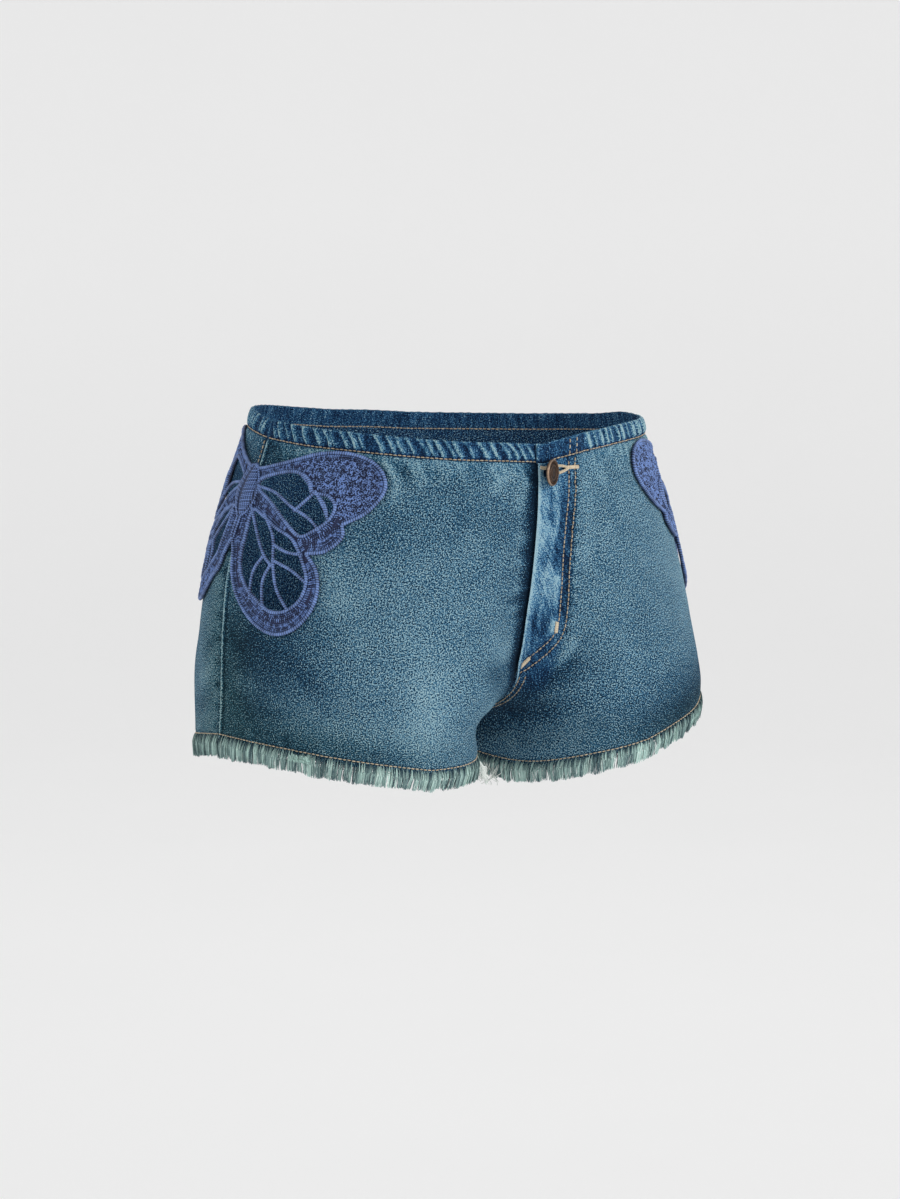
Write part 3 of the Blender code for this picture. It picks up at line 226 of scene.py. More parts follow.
# Creases: soft ridges (height above 0) and troughs, each a route of places with a width.
# across is from the side seam in SIDE_CREASES, and from the centre seam in CENTRE_CREASES.
Crease = namedtuple("Crease", "route width height")
ROUTE_STEP = 4.0            # between points of a crease's line
RUN_OUT = 0.3               # a crease runs out at both ends over this share of its line
SIDE_CREASES = {
    "front_right": (
        Crease(((16, 22), (30, 16.5), (48, 13), (66, 12.6)), 2.0, 0.60),
        Crease(((76, 14.5), (86, 17), (92.5, 23), (96.5, 32), (95.5, 46)), 2.3, 0.95),
        Crease(((87, 13.2), (97, 19), (103, 29)), 2.2, -0.60),
        Crease(((97, 13.5), (106, 21), (110, 33)), 3.0, 0.55),
        Crease(((3, 16), (10, 15), (14, 20)), 3.0, -0.70),
        Crease(((4, 128), (16, 138), (32, 141)), 5.0, -0.45),
        Crease(((6, 158), (24, 163), (44, 160)), 6.0, 0.40),
        Crease(((10, 172), (34, 180), (62, 178)), 7.0, -0.45),
        Crease(((70, 70), (84, 92), (90, 118)), 9.0, 0.45),
        Crease(((52, 132), (74, 150), (100, 160)), 8.0, -0.40),
        Crease(((28, 190), (34, 200), (36, 206)), 3.0, 0.60),
        Crease(((58, 188), (62, 198), (62, 206)), 3.5, -0.45),
        Crease(((84, 190), (88, 199), (88, 206)), 3.0, 0.45),
    ),
    "front_left": (
        Crease(((24, 21), (42, 14.5), (62, 12.5)), 2.2, 0.55),
        Crease(((92, 14), (99, 24), (100, 38)), 3.5, 0.80),
        Crease(((4, 130), (18, 142), (36, 144)), 5.0, -0.45),
        Crease(((8, 160), (26, 167), (46, 165)), 6.0, 0.40),
        Crease(((12, 176), (38, 184), (60, 180)), 7.0, -0.40),
        Crease(((60, 90), (76, 112), (80, 136)), 9.0, 0.40),
        Crease(((30, 192), (35, 200), (36, 206)), 3.0, 0.50),
        Crease(((64, 190), (66, 199), (66, 206)), 3.5, -0.40),
    ),
    "back_right": (
        Crease(((4, 132), (14, 142), (30, 146)), 4.5, -0.60),
        Crease(((5, 152), (22, 162), (44, 164)), 5.0, 0.50),
        Crease(((6, 172), (30, 180), (60, 184)), 6.0, -0.55),
        Crease(((60, 60), (84, 88), (92, 120)), 10.0, 0.50),
        Crease(((40, 126), (70, 140), (104, 150)), 8.0, -0.45),
        Crease(((34, 190), (38, 200), (38, 206)), 3.0, 0.50),
        Crease(((76, 190), (78, 199), (78, 206)), 3.5, -0.40),
    ),
    "back_left": (
        Crease(((4, 130), (16, 140), (34, 143)), 4.5, -0.60),
        Crease(((5, 154), (24, 163), (48, 165)), 5.0, 0.45),
        Crease(((8, 174), (34, 182), (66, 182)), 6.0, -0.50),
        Crease(((64, 58), (82, 84), (90, 112)), 10.0, 0.45),
        Crease(((44, 128), (72, 142), (102, 148)), 8.0, -0.45),
        Crease(((52, 190), (55, 200), (55, 206)), 3.0, 0.45),
    ),
}
CENTRE_CREASES = {
    "front_right": (
        Crease(((4, 60), (12, 58), (22, 54)), 2.4, 0.45),
        Crease(((4, 67), (12, 66), (18, 64)), 1.9, -0.45),
        Crease(((4, 73), (12, 73), (24, 70)), 2.4, 0.60),
        Crease(((4, 88), (12, 89), (22, 88)), 2.2, 0.65),
        Crease(((4, 93), (12, 95), (26, 95)), 1.9, -0.50),
        Crease(((4, 98), (14, 101), (28, 102)), 2.2, 0.60),
        Crease(((4, 106), (12, 109), (20, 111)), 1.9, 0.40),
        Crease(((18, 16), (30, 24), (36, 34)), 3.6, 0.75),
        Crease(((8, 18), (14, 30), (16, 44)), 4.0, 0.50),
        Crease(((10, 132), (26, 128), (46, 118)), 6.0, 0.50),
        Crease(((6, 146), (26, 144), (52, 136)), 7.0, -0.55),
        Crease(((8, 160), (28, 164), (52, 160)), 6.0, 0.45),
    ),
    "front_left": (
        Crease(((0.2, 20), (6.0, 25), (9.6, 33), (11.4, 43), (10.2, 54), (5.6, 66)), 1.5, 1.00),
        Crease(((10.5, 58), (5.6, 78), (4.4, 104), (2.6, 122)), 0.9, 0.85),
        Crease(((6.6, 26), (6.4, 40), (3.8, 52)), 1.6, -0.70),
        Crease(((13.4, 24), (14.4, 44), (12.4, 60), (10.0, 78)), 1.9, -0.80),
        Crease(((8.6, 66), (8.2, 82), (7.6, 98)), 1.5, 0.70),
        Crease(((12.2, 76), (13.0, 90), (13.8, 104)), 2.2, 0.80),
        Crease(((0.6, 100), (1.4, 112), (5.0, 124)), 2.2, -0.70),
        Crease(((8.6, 104), (9.4, 114), (6.0, 122)), 1.8, -0.80),
        Crease(((14.0, 108), (13.6, 116), (11.4, 120)), 1.5, 0.90),
        Crease(((-1.0, 62), (3.0, 57), (6.0, 50)), 1.2, 0.60),
        Crease(((0.0, 88), (4.0, 82), (7.0, 74)), 1.1, 0.55),
        Crease(((19.9, 22), (20.4, 44), (18.6, 70), (19.4, 100), (18.6, 118)), 1.5, -0.85),
        Crease(((14.4, 126), (9.8, 132), (4.6, 138)), 1.5, -0.75),
        Crease(((26.5, 26), (25.6, 40), (25.2, 58), (24.6, 84), (25.8, 108)), 1.5, 0.45),
        Crease(((30, 13), (33, 30), (33, 54), (31, 84)), 3.2, 0.45),
        Crease(((38, 14), (44, 26), (54, 34)), 3.6, 0.55),
        Crease(((30, 118), (27, 132), (18, 142)), 2.6, 0.70),
        Crease(((34, 128), (30, 142), (16, 154)), 3.4, -0.55),
        Crease(((10, 160), (30, 160), (54, 150)), 5.0, 0.55),
        Crease(((8, 172), (28, 176), (54, 170)), 5.5, -0.60),
        Crease(((12, 186), (34, 190), (60, 186)), 4.5, 0.45),
    ),
    "back_right": (
        Crease(((5, 16), (8, 40), (7, 66)), 2.6, 0.40),
        Crease(((6, 118), (24, 132), (50, 140)), 6.0, 0.60),
        Crease(((6, 134), (28, 148), (60, 154)), 6.0, -0.60),
        Crease(((6, 156), (24, 166), (46, 168)), 5.0, 0.50),
    ),
    "back_left": (
        Crease(((5, 18), (9, 44), (7, 70)), 2.6, 0.40),
        Crease(((6, 122), (26, 134), (54, 140)), 6.0, 0.60),
        Crease(((6, 138), (26, 150), (56, 158)), 6.0, -0.60),
        Crease(((6, 160), (26, 168), (50, 168)), 5.0, 0.45),
    ),
}
# Puckers: short creases in a row. Each row's heights vary by its unevenness, at its own pace.
Pucker = namedtuple("Pucker", "route width height unevenness pace")
FLY_PUCKER_DOWNS = (18, 27, 35, 45, 54, 62, 72, 80, 90, 99, 107, 117)
FLY_PUCKER = Pucker(((18.5, 0.0), (23.0, 0.6), (28.5, 0.2)), 1.5, -0.70, 0.35, 1.7)
SEAM_PUCKER_START, SEAM_PUCKER_PITCH = 82.0, 14.0   # down the side seam
SEAM_PUCKER_STOP = 8.0      # above the raw edge
SEAM_PUCKER = Pucker(((1.0, 0.0), (4.5, 1.5), (9.0, 0.5)), 2.4, -1.15, 0.3, 2.3)
SEAM_PUCKER_STEP = 3.0      # between points of a pinch's line
FRONT_SEAM_PUCKER = 0.4     # height of the front's pinches, as a share of the back's
SEAM_FOLD_HEIGHT = 0.9 * MM     # the front's folded edge stands up beside the side seam
SEAM_FOLD_PLACE, SEAM_FOLD_WIDTH = 1.5 * MM, 1.2 * MM
SEAM_LINE_SHADE = 0.74      # and its fold is worn
SEAM_LINE_PLACE, SEAM_LINE_WIDTH = 1.2 * MM, 0.8 * MM
FLAP_FOLD_HEIGHT, FLAP_FOLD_WIDTH = 0.8 * MM, 2.2 * MM
FLAP_LEE, FLAP_LEE_WIDTH = -1.00, 6.4 * MM  # the right front is in shadow beside the flap
STITCH_TROUGH, STITCH_TROUGH_WIDTH = 0.35 * MM, 1.1 * MM
# painted shade in the troughs along the rows of stitches
STITCH_SHADE = -0.26

# Wash and painted shade: soft patches where the cloth is lighter (shade above 0) or darker, by their
# middle and size. They hold the wash's fading, and painted shade that darkens the patches toward the
# crotch, the side seam and the hem
Wash = namedtuple("Wash", "across down wide tall shade")
WASH_AND_SHADE = {
    "front_right": (
        Wash(118, 108, 40, 52, 0.08), Wash(16, 164, 44, 56, -0.40), Wash(42, 134, 38, 22, -0.28),
        Wash(104, 34, 30, 12, 0.05), Wash(132, 44, 34, 16, -0.12), Wash(92, 60, 22, 20, -0.14),
        Wash(150, 160, 16, 36, 0.28), Wash(60, 22, 70, 12, -0.16), Wash(10, 24, 20, 12, -0.24),
        Wash(80, 196, 70, 9, -0.30), Wash(20, 60, 16, 50, -0.16),
    ),
    "front_left": (
        Wash(62, 74, 50, 66, 0.19), Wash(30, 100, 40, 60, 0.08), Wash(112, 188, 60, 26, -0.60),
        Wash(140, 122, 18, 22, -0.05), Wash(24, 172, 40, 26, -0.16), Wash(84, 20, 22, 14, 0.12),
    ),
    "back_right": (
        Wash(70, 90, 50, 60, 0.10), Wash(8, 150, 18, 60, -0.14), Wash(120, 176, 50, 22, -0.26),
        Wash(10, 22, 26, 14, -0.26),
    ),
    "back_left": (
        Wash(70, 90, 50, 60, 0.10), Wash(12, 150, 20, 60, -0.12), Wash(120, 176, 50, 22, -0.26),
        Wash(10, 22, 26, 14, -0.20),
    ),
}
CENTRE_WASH_AND_SHADE = {           # across from the centre seam; the dark patches at the crotch are painted shade
    "front_right": (
        Wash(0, 172, 26, 26, -0.38), Wash(14, 100, 14, 16, -0.10), Wash(26, 60, 20, 26, -0.08),
        Wash(34, 186, 34, 14, 0.10),
    ),
    "front_left": (
        Wash(0, 48, 10, 24, 0.30), Wash(12, 18, 9, 12, -0.04), Wash(13, 88, 4.0, 9, 0.22),
        Wash(9, 70, 8, 9, -0.12), Wash(5, 114, 8, 9, -0.16), Wash(14, 112, 3.0, 5, 0.26),
        Wash(-3, 92, 5, 26, 0.22), Wash(14, 40, 5, 14, -0.04), Wash(0, 176, 40, 28, -0.62),
        Wash(26, 150, 26, 14, -0.16),
    ),
    "back_right": (Wash(0, 150, 24, 40, -0.16),),
    "back_left": (Wash(0, 150, 24, 40, -0.16),),
}
GREEN = 0.36                # how far the wash leans to green all over, and in places
GREENS = {
    "front_right": (Wash(8, 168, 26, 60, 0.55), Wash(60, 196, 90, 22, 0.40), Wash(40, 20, 60, 10, 0.25)),
    "front_left": (Wash(8, 168, 26, 60, 0.40), Wash(90, 198, 90, 18, 0.40), Wash(60, 16, 60, 8, 0.25)),
    "back_right": (Wash(6, 150, 24, 70, 0.55), Wash(90, 198, 90, 18, 0.40)),
    "back_left": (Wash(6, 150, 24, 70, 0.50), Wash(90, 198, 90, 18, 0.40)),
}
FLAP_BLUE = -0.30           # the flap keeps its blue
ROUGH_WEAR = 0.10           # how strongly wear streaks the cloth: all over, and on the flap
FLAP_ROUGH_WEAR = 0.85
CASING_ROUGH_WEAR = 0.8
EDGE_WEAR = 0.34            # rubbed edges are lighter by this much
EDGE_WEAR_WIDTH = 1.6 * MM
CREASE_WEAR_AND_SHADE = 0.34          # and each millimetre of a ridge's height by this, as wear; troughs are darker by as much, as painted shade
SEAM_SHADE = -0.50          # painted shade: the back is darker in the lee of the side seam
SEAM_SHADE_WIDTH = 2.8 * MM
FOLD_SHADE = -0.44          # and painted shade on the front behind its own folded edge
FOLD_SHADE_PLACE, FOLD_SHADE_WIDTH = 3.6 * MM, 1.4 * MM
BELOW_CASING = 9 * MM       # below the casing the cloth is streaked over this width,
BELOW_CASING_WEAR = 0.6     # by this share of the flap's streaks
WEAR_START = 3 * MM         # edges begin to be rubbed over this width below the casing

# Waist casing
CASING_STEP = 0.6 * MM
GATHER_PITCHES = (4.6, 6.2, 5.0, 6.4, 8.9, 7.4, 6.3, 4.7, 6.9, 5.2, 5.8, 9.6, 7.9, 6.1, 4.9, 7.2, 5.5)
GATHER_HEIGHTS = (1.25, 1.6, 1.1, 1.5, 1.9, 1.35, 1.7, 1.0, 1.55, 1.8, 1.2, 1.7, 1.45)
GATHER_WIDTHS = (0.85, 1.0, 0.75, 1.1, 0.9, 1.25, 0.8, 1.05)
GATHER_BOWS = (1.0, -0.4, 1.4, 0.3, -0.9, 1.1, 1.7, -0.3, 0.7)
GATHER_LEE = 2.6            # a gather's far side is this many times as wide as its near side
LEE_PAINTED_LIGHT = 0.42          # painted light on the far side, as a share of the crest's wear
GATHER_SLANTS = (0.58, -0.24, 0.26)     # of the right front, the left front and the back
BAND_PUFF = 0.35 * MM       # the casing stands this far out between its seams
BAND_FLAT = 6 * MM          # width over which gathers run out beside a seam
CASING_ROWS = 17
CASING_INNER_ROWS = 6
PUCKER_LENGTHS = (9, 15, 7, 12, 18, 8, 13, 10, 16, 6)   # of the gathers' ends in the panel below
PUCKER_HEIGHT = 0.50        # as a share of the gather's
PUCKER_WIDTH = 1.5
PUCKER_ROUTE = (-0.3, 0.3, 0.7, 1.0)    # shares of its length at which a gather's end has points
GATHER_STOP = 2 * MM        # no gather starts this near to the casing's end
GATHER_REACH = 6            # a gather is felt this many widths away
GATHER_AT_ENDS = 0.35       # share of their height that gathers keep at the casing's ends
GATHER_AT_EDGES, GATHER_GROWTH = 0.62, 0.8  # the same at its two edges, and how it grows between
STITCHED_DOWN = 0.55        # the stitches take away this share
CREST_WIDTH = 0.80          # a worn crest, as a share of the gather's width
FULL_CREST = 2 * MM         # a gather of this height is worn most and has the most painted light on its far side
FLAT_PUFF = 0.5             # share of its puff that the casing keeps where it isn't gathered
CASING_INNER_RELIEF = 0.45  # height of the inner face's gathers, as a share of the outer face's
CASING_LINING = 0.1 * MM    # what the folded cloth adds to its thickness
CASING_INNER_TOP = 0.04     # share of the height at which the inner face's first row lies
EDGE_TURN = 0.5 * MM        # the casing's edges turn in over this width
GATHER_FULLNESS = 1.30      # the casing's cut length over its gathered one

# The fly's shield
SHIELD_SINK = 0.05 * MM     # how far its face lies below the skin
SHIELD_RIPPLE, SHIELD_RIPPLE_PITCH = 0.06 * MM, 2.6 * MM

# Sewing. A stitch or stroke has a few points along it, at these shares of its length, and each
# taper gives their radii as shares of the thread's.
STITCH_SHARES = np.linspace(-0.5, 0.5, 5)
STITCH_TAPER = np.array([0.55, 0.95, 1.05, 0.95, 0.55])
STITCH_LENGTH, STITCH_PITCH = 2.15 * MM, 2.75 * MM
STITCH_RADIUS = 0.36 * MM
STITCH_LIFT = 0.26 * MM
STITCH_WANDER = 0.08 * MM
STITCH_SIDES = 6
STITCH_TONE, HEM_STITCH_TONE, CROTCH_STITCH_TONE = 0.5, 0.62, 0.35
STITCH_TONE_SWING = 0.22
ROW_STEP = 2 * MM           # between the places of a stitched row's line
ROW_MARGIN = 1 * MM         # a row ends this far from its seams
BAND_STITCH_DOWN = 10.9 * MM
WAIST_ROW_STOP = 10 * MM    # the row under the button ends this far from the flap's edge
HEM_STITCH_DOWN = 201.2 * MM
J_INNER = ((19.4, 0), (18.0, 14), (18.2, 32), (17.0, 50), (16.2, 70), (17.0, 95), (17.4, 112),
           (15.2, 121), (8.0, 129.5), (1.5, 136))
J_OUTER = ((24.6, 0), (22.6, 17), (23.2, 32), (21.6, 54), (20.8, 78), (22.0, 100), (21.6, 118),
           (17.6, 127.5), (11.0, 136), (4.5, 142), (0.5, 144))
CROTCH_ROWS_FROM_SEAM = (1.9 * MM, 5.6 * MM)
CROTCH_ROW_DOWNS = (146 * MM, 201 * MM)
SIDE_ROW = 2.6 * MM         # the stitches beside the side seam lie this far onto the back
SIDE_ROW_DOWNS = (13 * MM, 31 * MM)
BAND_ROW_START = 0.8 * MM   # the fly's rows begin this far down the casing
Tack = namedtuple("Tack", "from_centre down heading length")    # a bartack; heading in degrees
TACKS = (Tack(21.2, 18.4, 9, 8.4), Tack(16.6, 114.5, 88, 7.0), Tack(2.2, 137.0, -56, 7.4),
         Tack(-0.2, 14.6, 10, 5.6))
TACK_WIDTH = 2.0 * MM
HOLE_CORDS = (((9.6, 15.4), (13.4, 16.2), (17.6, 17.9)), ((10.8, 19.9), (14.2, 19.4), (17.6, 18.3)))
HOLE_CORD_WIDTH = 1.4 * MM
TACK_PITCH = 0.50 * MM
TACK_THREAD = 0.34 * MM
TACK_TAPER = np.array([0.7, 1.0, 1.0, 1.0, 0.7])
TACK_SIDES = 5
TACK_LIFT, TACK_ROUND = 1.6, 6.0    # in thread radii: its height, and how it falls to its ends
TACK_TONE, TACK_TONE_SWING = 0.80, 0.15

# Lace
CORD_RADIUS = 1.15 * MM     # rims and window edges
VEIN_RADIUS = 0.98 * MM
THIN_RADIUS = 0.75 * MM
VEIN_RISE = 0.2 * MM        # veins lie this much higher than the rims
CORD_SIDES = 9
CORD_TONE = 0.24
CORD_SWELLS = ((0.07, 0.85 * MM), (0.05, 3.1 * MM))     # height and length of its waves,
CORD_TONE_SWINGS = ((0.10, 1.3 * MM), (0.12, 5.0 * MM))     # and of its tone's
LACE_CLEAR = 0.70 * MM      # the lace lies this far over the denim
LACE_FILL = 1.5 * MM        # lift of its filled ground
LACE_RIPPLE = 0.15 * MM
LACE_RIPPLE_ACROSS, LACE_RIPPLE_DOWN = 1.9 * MM, 2.3 * MM
LACE_STEP, LACE_FILL_STEP = 2.2 * MM, 2.6 * MM
CORD_LIFT = 2.0 * MM        # of the cords' middle lines
CORD_STEP = 0.9 * MM
THIN_VEINS = (
    ((53, 42), (58, 46), (62.5, 53)),
    ((16, 33.5), (26, 29.5), (35, 29), (44, 35), (48, 41)),
)
BODY_TOP, BODY_END = 29 * MM, 63 * MM
BODY_HALF = 10.5 * MM       # half of its greatest width
BODY_HEIGHT = 5.0 * MM
TAIL_END = 77 * MM
TAIL_HALF = 1.7 * MM
BODY_STEP = 1.15 * MM
BODY_COLUMNS = 9
BODY_SWELL = (0.80, 0.28)   # its width at the top, and what it gains toward its end
BODY_ROUND = 0.9            # how far its top falls toward its sides
BODY_SINK = 0.5 * MM        # its sides lie below the cords' lift,
BODY_CORD_RISE = 0.5 * MM   # and the cords beside it over it
BODY_TONE = 0.06
RIB_SPAN = 0.42             # a rib reaches this share of the body's half on both sides of its middle
RIB_SLOPE = -0.34
RIB_RADIUS = 0.50 * MM
RIB_TAPER = np.array([0.6, 1.0, 1.0, 1.0, 0.6])
RIB_SIDES = 5
RIB_RISE = 0.15 * MM        # a rib's middle line lies this far over the body
RIB_TONE, RIB_TONE_SWING, RIB_TONE_PACE = 0.36, 0.30, 2.6
WING_TIP = ((34, 22), (46, 16), (67, 14.5), (83, 21), (90, 33), (84.5, 47), (73, 56), (68, 52),
            (67, 46), (60, 40), (51, 39), (44, 31))
WING_TIP_STEP = 3.0
CURL_PITCH = 1.62 * MM
CURL_CLEAR = 0.6 * MM       # curls keep this far inside the wing's tip
CURL_JITTER = 0.35          # and stray by this share of their pitch
CURL_RADIUS = 0.85 * MM
CURL_SIZES = (0.75, 1.15)
CURL_SWEEPS = (3.4, 5.4)    # how far a loop turns, in radians
CURL_SHARES = np.linspace(0.0, 1.0, 7)
CURL_TAPER = np.array([0.6, 1, 1, 1, 1, 1, 0.6])
CURL_THREAD = 0.36 * MM
CURL_LIFT, CURL_RISE = 0.30 * MM, 0.25 * MM     # over the ground, and what it gains in its middle
THREAD_SIDES = 4            # of curls, stitches and loose threads
SATIN_PITCH = 1.15 * MM     # between strokes of a row
SATIN_ROW = 2.45 * MM       # between rows
SATIN_LENGTH = 2.5 * MM
SATIN_RADIUS = 0.40 * MM
SATIN_ROWS = 6
SATIN_TILT = 14.0           # degrees, to the other side in every second row
SATIN_OFFSET = 0.45         # the first row's place, in rows past the rim's radius
SATIN_JITTER = 0.12         # millimetres
SATIN_LIFT = 0.25 * MM      # over the ground
SATIN_ROUND = 7.0           # how a stroke falls to its ends, in thread radii
SATIN_SHARES = np.linspace(-0.5, 0.5, 4)
SATIN_TAPER = np.array([0.6, 1.0, 1.0, 0.6])
DARK_BAND = ((7, 45), (22, 53), (36, 62.5), (51, 70.5), (49, 74.5), (34, 69), (21, 63), (9, 58))
CORD_TOP_LIGHT, STROKE_TOP_LIGHT = 0.38, 0.28    # painted light: how much lighter a thread is on top than at its sides
DARK_BAND_SHADE = -0.24     # of the stitches between the two windows
THREAD_SHADE, THREAD_UNEVENNESS = 0.40, 0.56    # of the lace's stitches

# Frayed hem. Ranges of random numbers are given as (low, high).
THREADS = 6200              # for each leg
THREAD_LENGTH = 9.2 * MM    # below the raw edge
THREAD_UNEVEN = 1.0 * MM
THREAD_ENDS = (-1.0, 0.55)  # by this many times that
THREAD_SHARES = np.array([0.0, 0.16, 0.42, 0.72, 1.0])
THREAD_TAPER = np.array([0.8, 1.05, 1.0, 0.95, 0.7])
THREAD_TONES = np.array([-0.30, -0.10, 0.06, 0.06, -0.02])  # what each point adds to the thread's
THREAD_TONE, THREAD_TONE_SPREAD = 0.38, 0.28
THREAD_TONE_RANGE = (0.02, 1.0)
THREAD_RADIUS = 0.19 * MM
SHORT_SIDES = 3
THREAD_FLARE, FLARE_GROWTH = 1.2 * MM, 1.4
THREAD_WANDER = 0.25        # millimetres
THREAD_WAVE, THREAD_WAVE_TURNS = 0.30 * MM, 2.6
THREAD_BEND = 1.15          # how soon a thread bends and bulges
THREAD_BULGE = 1.3 * MM
CLUMP_PITCH = 2.8 * MM
CLUMP_SPACING = (0.6, 1.4)
CLUMP_PULL = 0.16
CLUMP_UNEVEN = 0.60 * MM
CLUMP_TONE_SPREAD = 0.16
CLUMP_FLARE = (-0.3, 1.0)
OUTER_SHARE = 0.46          # of the threads, on the outer face:
OUTER_START = 4.7 * MM      # they come out up to this far above the raw edge,
OUTER_STARTS = (0.25, 1.0)  # by these shares of it,
OUTER_LIFT = 0.30 * MM      # and lie over the cloth
INNER_START = 0.2 * MM      # the others come out just above it,
INNER_DEPTHS = (-1.0, -0.1)     # this far into the cloth's thickness
DEEP, DEEP_SHADE = -0.5, -0.25  # and are darker behind this depth
LOOSE_THREADS = 30          # long pale ones at the inner thigh,
LOOSE_PLACES = {RIGHT: 72 * MM, LEFT: 36 * MM}  # this far before the inseam,
LOOSE_SPREAD = 6.0          # millimetres around it,
LOOSE_SWING = 5.0 * MM      # and hanging out by this much
LOOSE_LENGTHS, LOOSE_CURLS = (9.0, 16.0), (1.2, 3.0)    # millimetres
LOOSE_WAVES = (7.0, 6.0)    # along the edge and out from it, in radians from end to end
LOOSE_HANG, LOOSE_HANG_START = 0.30, 0.6    # an end falls this much less far beyond this share
LOOSE_LIFT = 1.0 * MM
LOOSE_RADIUS = 0.22 * MM
LOOSE_SHADE = 1.35
LONG_SHARES = np.linspace(0.0, 1.0, 12)     # of the loose threads and the tuft's
TUFT_PLACE, TUFT_WIDTH, TUFT_THREADS = 73 * MM, 11 * MM, 110    # a looped bunch on the right front
TUFT_RISES, TUFT_SLANTS, TUFT_LIFTS = (2.0, 6.5), (-2.5, 1.0), (1.6, 3.4)   # millimetres
TUFT_DROP, TUFT_END_DROP, TUFT_END = 3.0 * MM, 8.0 * MM, 0.6
TUFT_RISE_TURN, TUFT_LIFT_TURN = 0.8, 0.9   # in half turns from end to end
TUFT_LIFT = 1.2 * MM
TUFT_TONE, TUFT_TONE_SPREAD = 0.78, 0.20
TUFT_TONE_RANGE = (0.1, 1.0)
EDGE_WARPS = 3              # threads that still run along the raw edge
WARP_STEP = 1.6 * MM
WARP_START, WARP_PITCH = 0.5 * MM, 0.75 * MM    # below the raw edge
WARP_LIFT, WARP_SINK = 0.1 * MM, 0.25 * MM      # each lies deeper than the one above it
WARP_RIPPLES = ((0.35 * MM, 2.1 * MM, 2.0), (0.2 * MM, 0.9 * MM, 1.0))  # height, length, offset
WARP_RADIUS = 0.20 * MM
WARP_TONE = 0.12

# Seeds of the random numbers, for the right and the left
FRINGE_SEEDS = {"right": 21, "left": 22}
LACE_SEEDS = {"right": 31, "left": 32}

# Shades
LIGHT_STOP = 0.75           # where a thread's light colour is on its ramp
DENIM_LEVEL, CASING_LEVEL = 0.51, 0.46
INNER_SHADE = -0.30         # painted shade of the panels' inner faces,
INNER_CASING_SHADE = -0.12  # and the casing's painted shade
LEFT_CASING_SHADE = 0.12    # the left casing's outer face is lighter
HEM_SHADE = 0.20            # below the hem's stitches
CREST_WEAR_AND_LEE_LIGHT = 0.72           # on the casing's gathers: wear on their crests and painted light on their far sides
VALLEY_SHADE, VALLEY_DEPTH = 0.38, 1.4 * MM     # painted shade: cloth lower than this is darker
TOP_EDGE_WEAR, TOP_EDGE_WIDTH = 0.34, 1.0 * MM
CASING_GREEN, CASING_GREEN_GAIN, CASING_GREEN_MOST = 0.10, 0.9, 0.6

# Button: each row is a ring's radius and height over the foot in millimetres, and its shade
BUTTON_PROFILE = (
    (2.4, 0.0, 0.2), (2.4, 2.15, 0.2), (8.0, 2.15, 0.3), (8.5, 2.6, 0.6), (8.6, 3.3, 0.8),
    (8.3, 3.9, 0.95), (7.8, 4.15, 0.75), (7.4, 4.0, 0.4), (7.1, 3.7, 0.10), (6.2, 3.65, 0.10),
    (5.3, 3.7, 0.15), (5.0, 4.0, 0.45), (4.6, 4.15, 0.62), (4.2, 4.0, 0.4), (3.9, 3.75, 0.12),
    (2.9, 3.7, 0.12), (2.5, 3.85, 0.3), (2.2, 4.10, 0.55), (1.5, 4.0, 0.25), (0.4, 3.9, 0.2),
)
BUTTON_SCALE = 0.95
BUTTON_TILT = 34.0          # degrees, toward the wearer's left, as a buttoned shank stands
BUTTON_NECK = 3.5 * MM      # the tilted cap stands this much further out,
BUTTON_SHIFT = 1.6 * MM     # and this much toward the wearer's right
BUTTON_SIDES = 48
BEADS = 30
BEAD_CIRCLE, BEAD_HEIGHT = 6.2 * MM, 3.75 * MM
BEAD_LEAN, BEAD_OUT, BEAD_AROUND = 0.9 * MM, 0.75, 0.5  # half a bead's length, and its slant
BEAD_RADIUS = 0.36 * MM
BEAD_TAPER = np.array([0.35, 0.9, 1.0, 0.9, 0.35])
BEAD_SIDES = 6
BEAD_TONE = 0.45

# Denim's colours by its tone: blue, and where it leans to green
DENIM_STOPS = (
    (0.00, (0.003, 0.010, 0.030)),
    (0.30, (0.009, 0.042, 0.116)),
    (0.50, (0.024, 0.095, 0.212)),
    (0.70, (0.058, 0.184, 0.338)),
    (0.88, (0.145, 0.335, 0.485)),
    (1.00, (0.320, 0.490, 0.570)),
)
GREEN_STOPS = (
    (0.00, (0.003, 0.016, 0.024)),
    (0.30, (0.017, 0.067, 0.090)),
    (0.50, (0.028, 0.113, 0.168)),
    (0.70, (0.068, 0.207, 0.275)),
    (0.88, (0.200, 0.355, 0.385)),
    (1.00, (0.350, 0.505, 0.515)),
)

# Patterns over the cloth: noise and waves, stretched across and down and then turned by degrees.
# swing is how far a pattern takes the tone to darker and lighter.
Pattern = namedtuple("Pattern", "stretch turn scale detail roughness swing")
GRAIN = Pattern((1.0, 1.0), 0.0, 1.20, 2.0, 0.50, 2.40)
FLECK = Pattern((1.0, 0.70), 24.0, 1.7, 1.0, 0.60, 1.30)
SLUB = Pattern((0.9, 0.07), 0.0, 1.0, 2.0, 0.60, 0.16)
CLOUD = Pattern((1.0, 1.0), 0.0, 0.055, 3.0, 0.60, 0.18)
STREAK = Pattern((1.0, 0.22), 0.0, 0.42, 3.0, 0.60, 0.75)
FUZZ = Pattern((1.0, 1.0), 0.0, 1.4, 2.0, 0.60, 0.22)
LACE_NOISE = Pattern((1.0, 1.0), 20.0, 1.5, 2.0, 0.70, 0.55)
SPOTS = Pattern((1.0, 1.0), 0.0, 0.9, 3.0, 0.70, 0.35)
Wave = namedtuple("Wave", "stretch turn scale distortion detail detail_scale swing")
TWILL = Wave((1.0, 1.0), 58.0, 0.42, 1.2, 1.0, 2.0, 0.05)
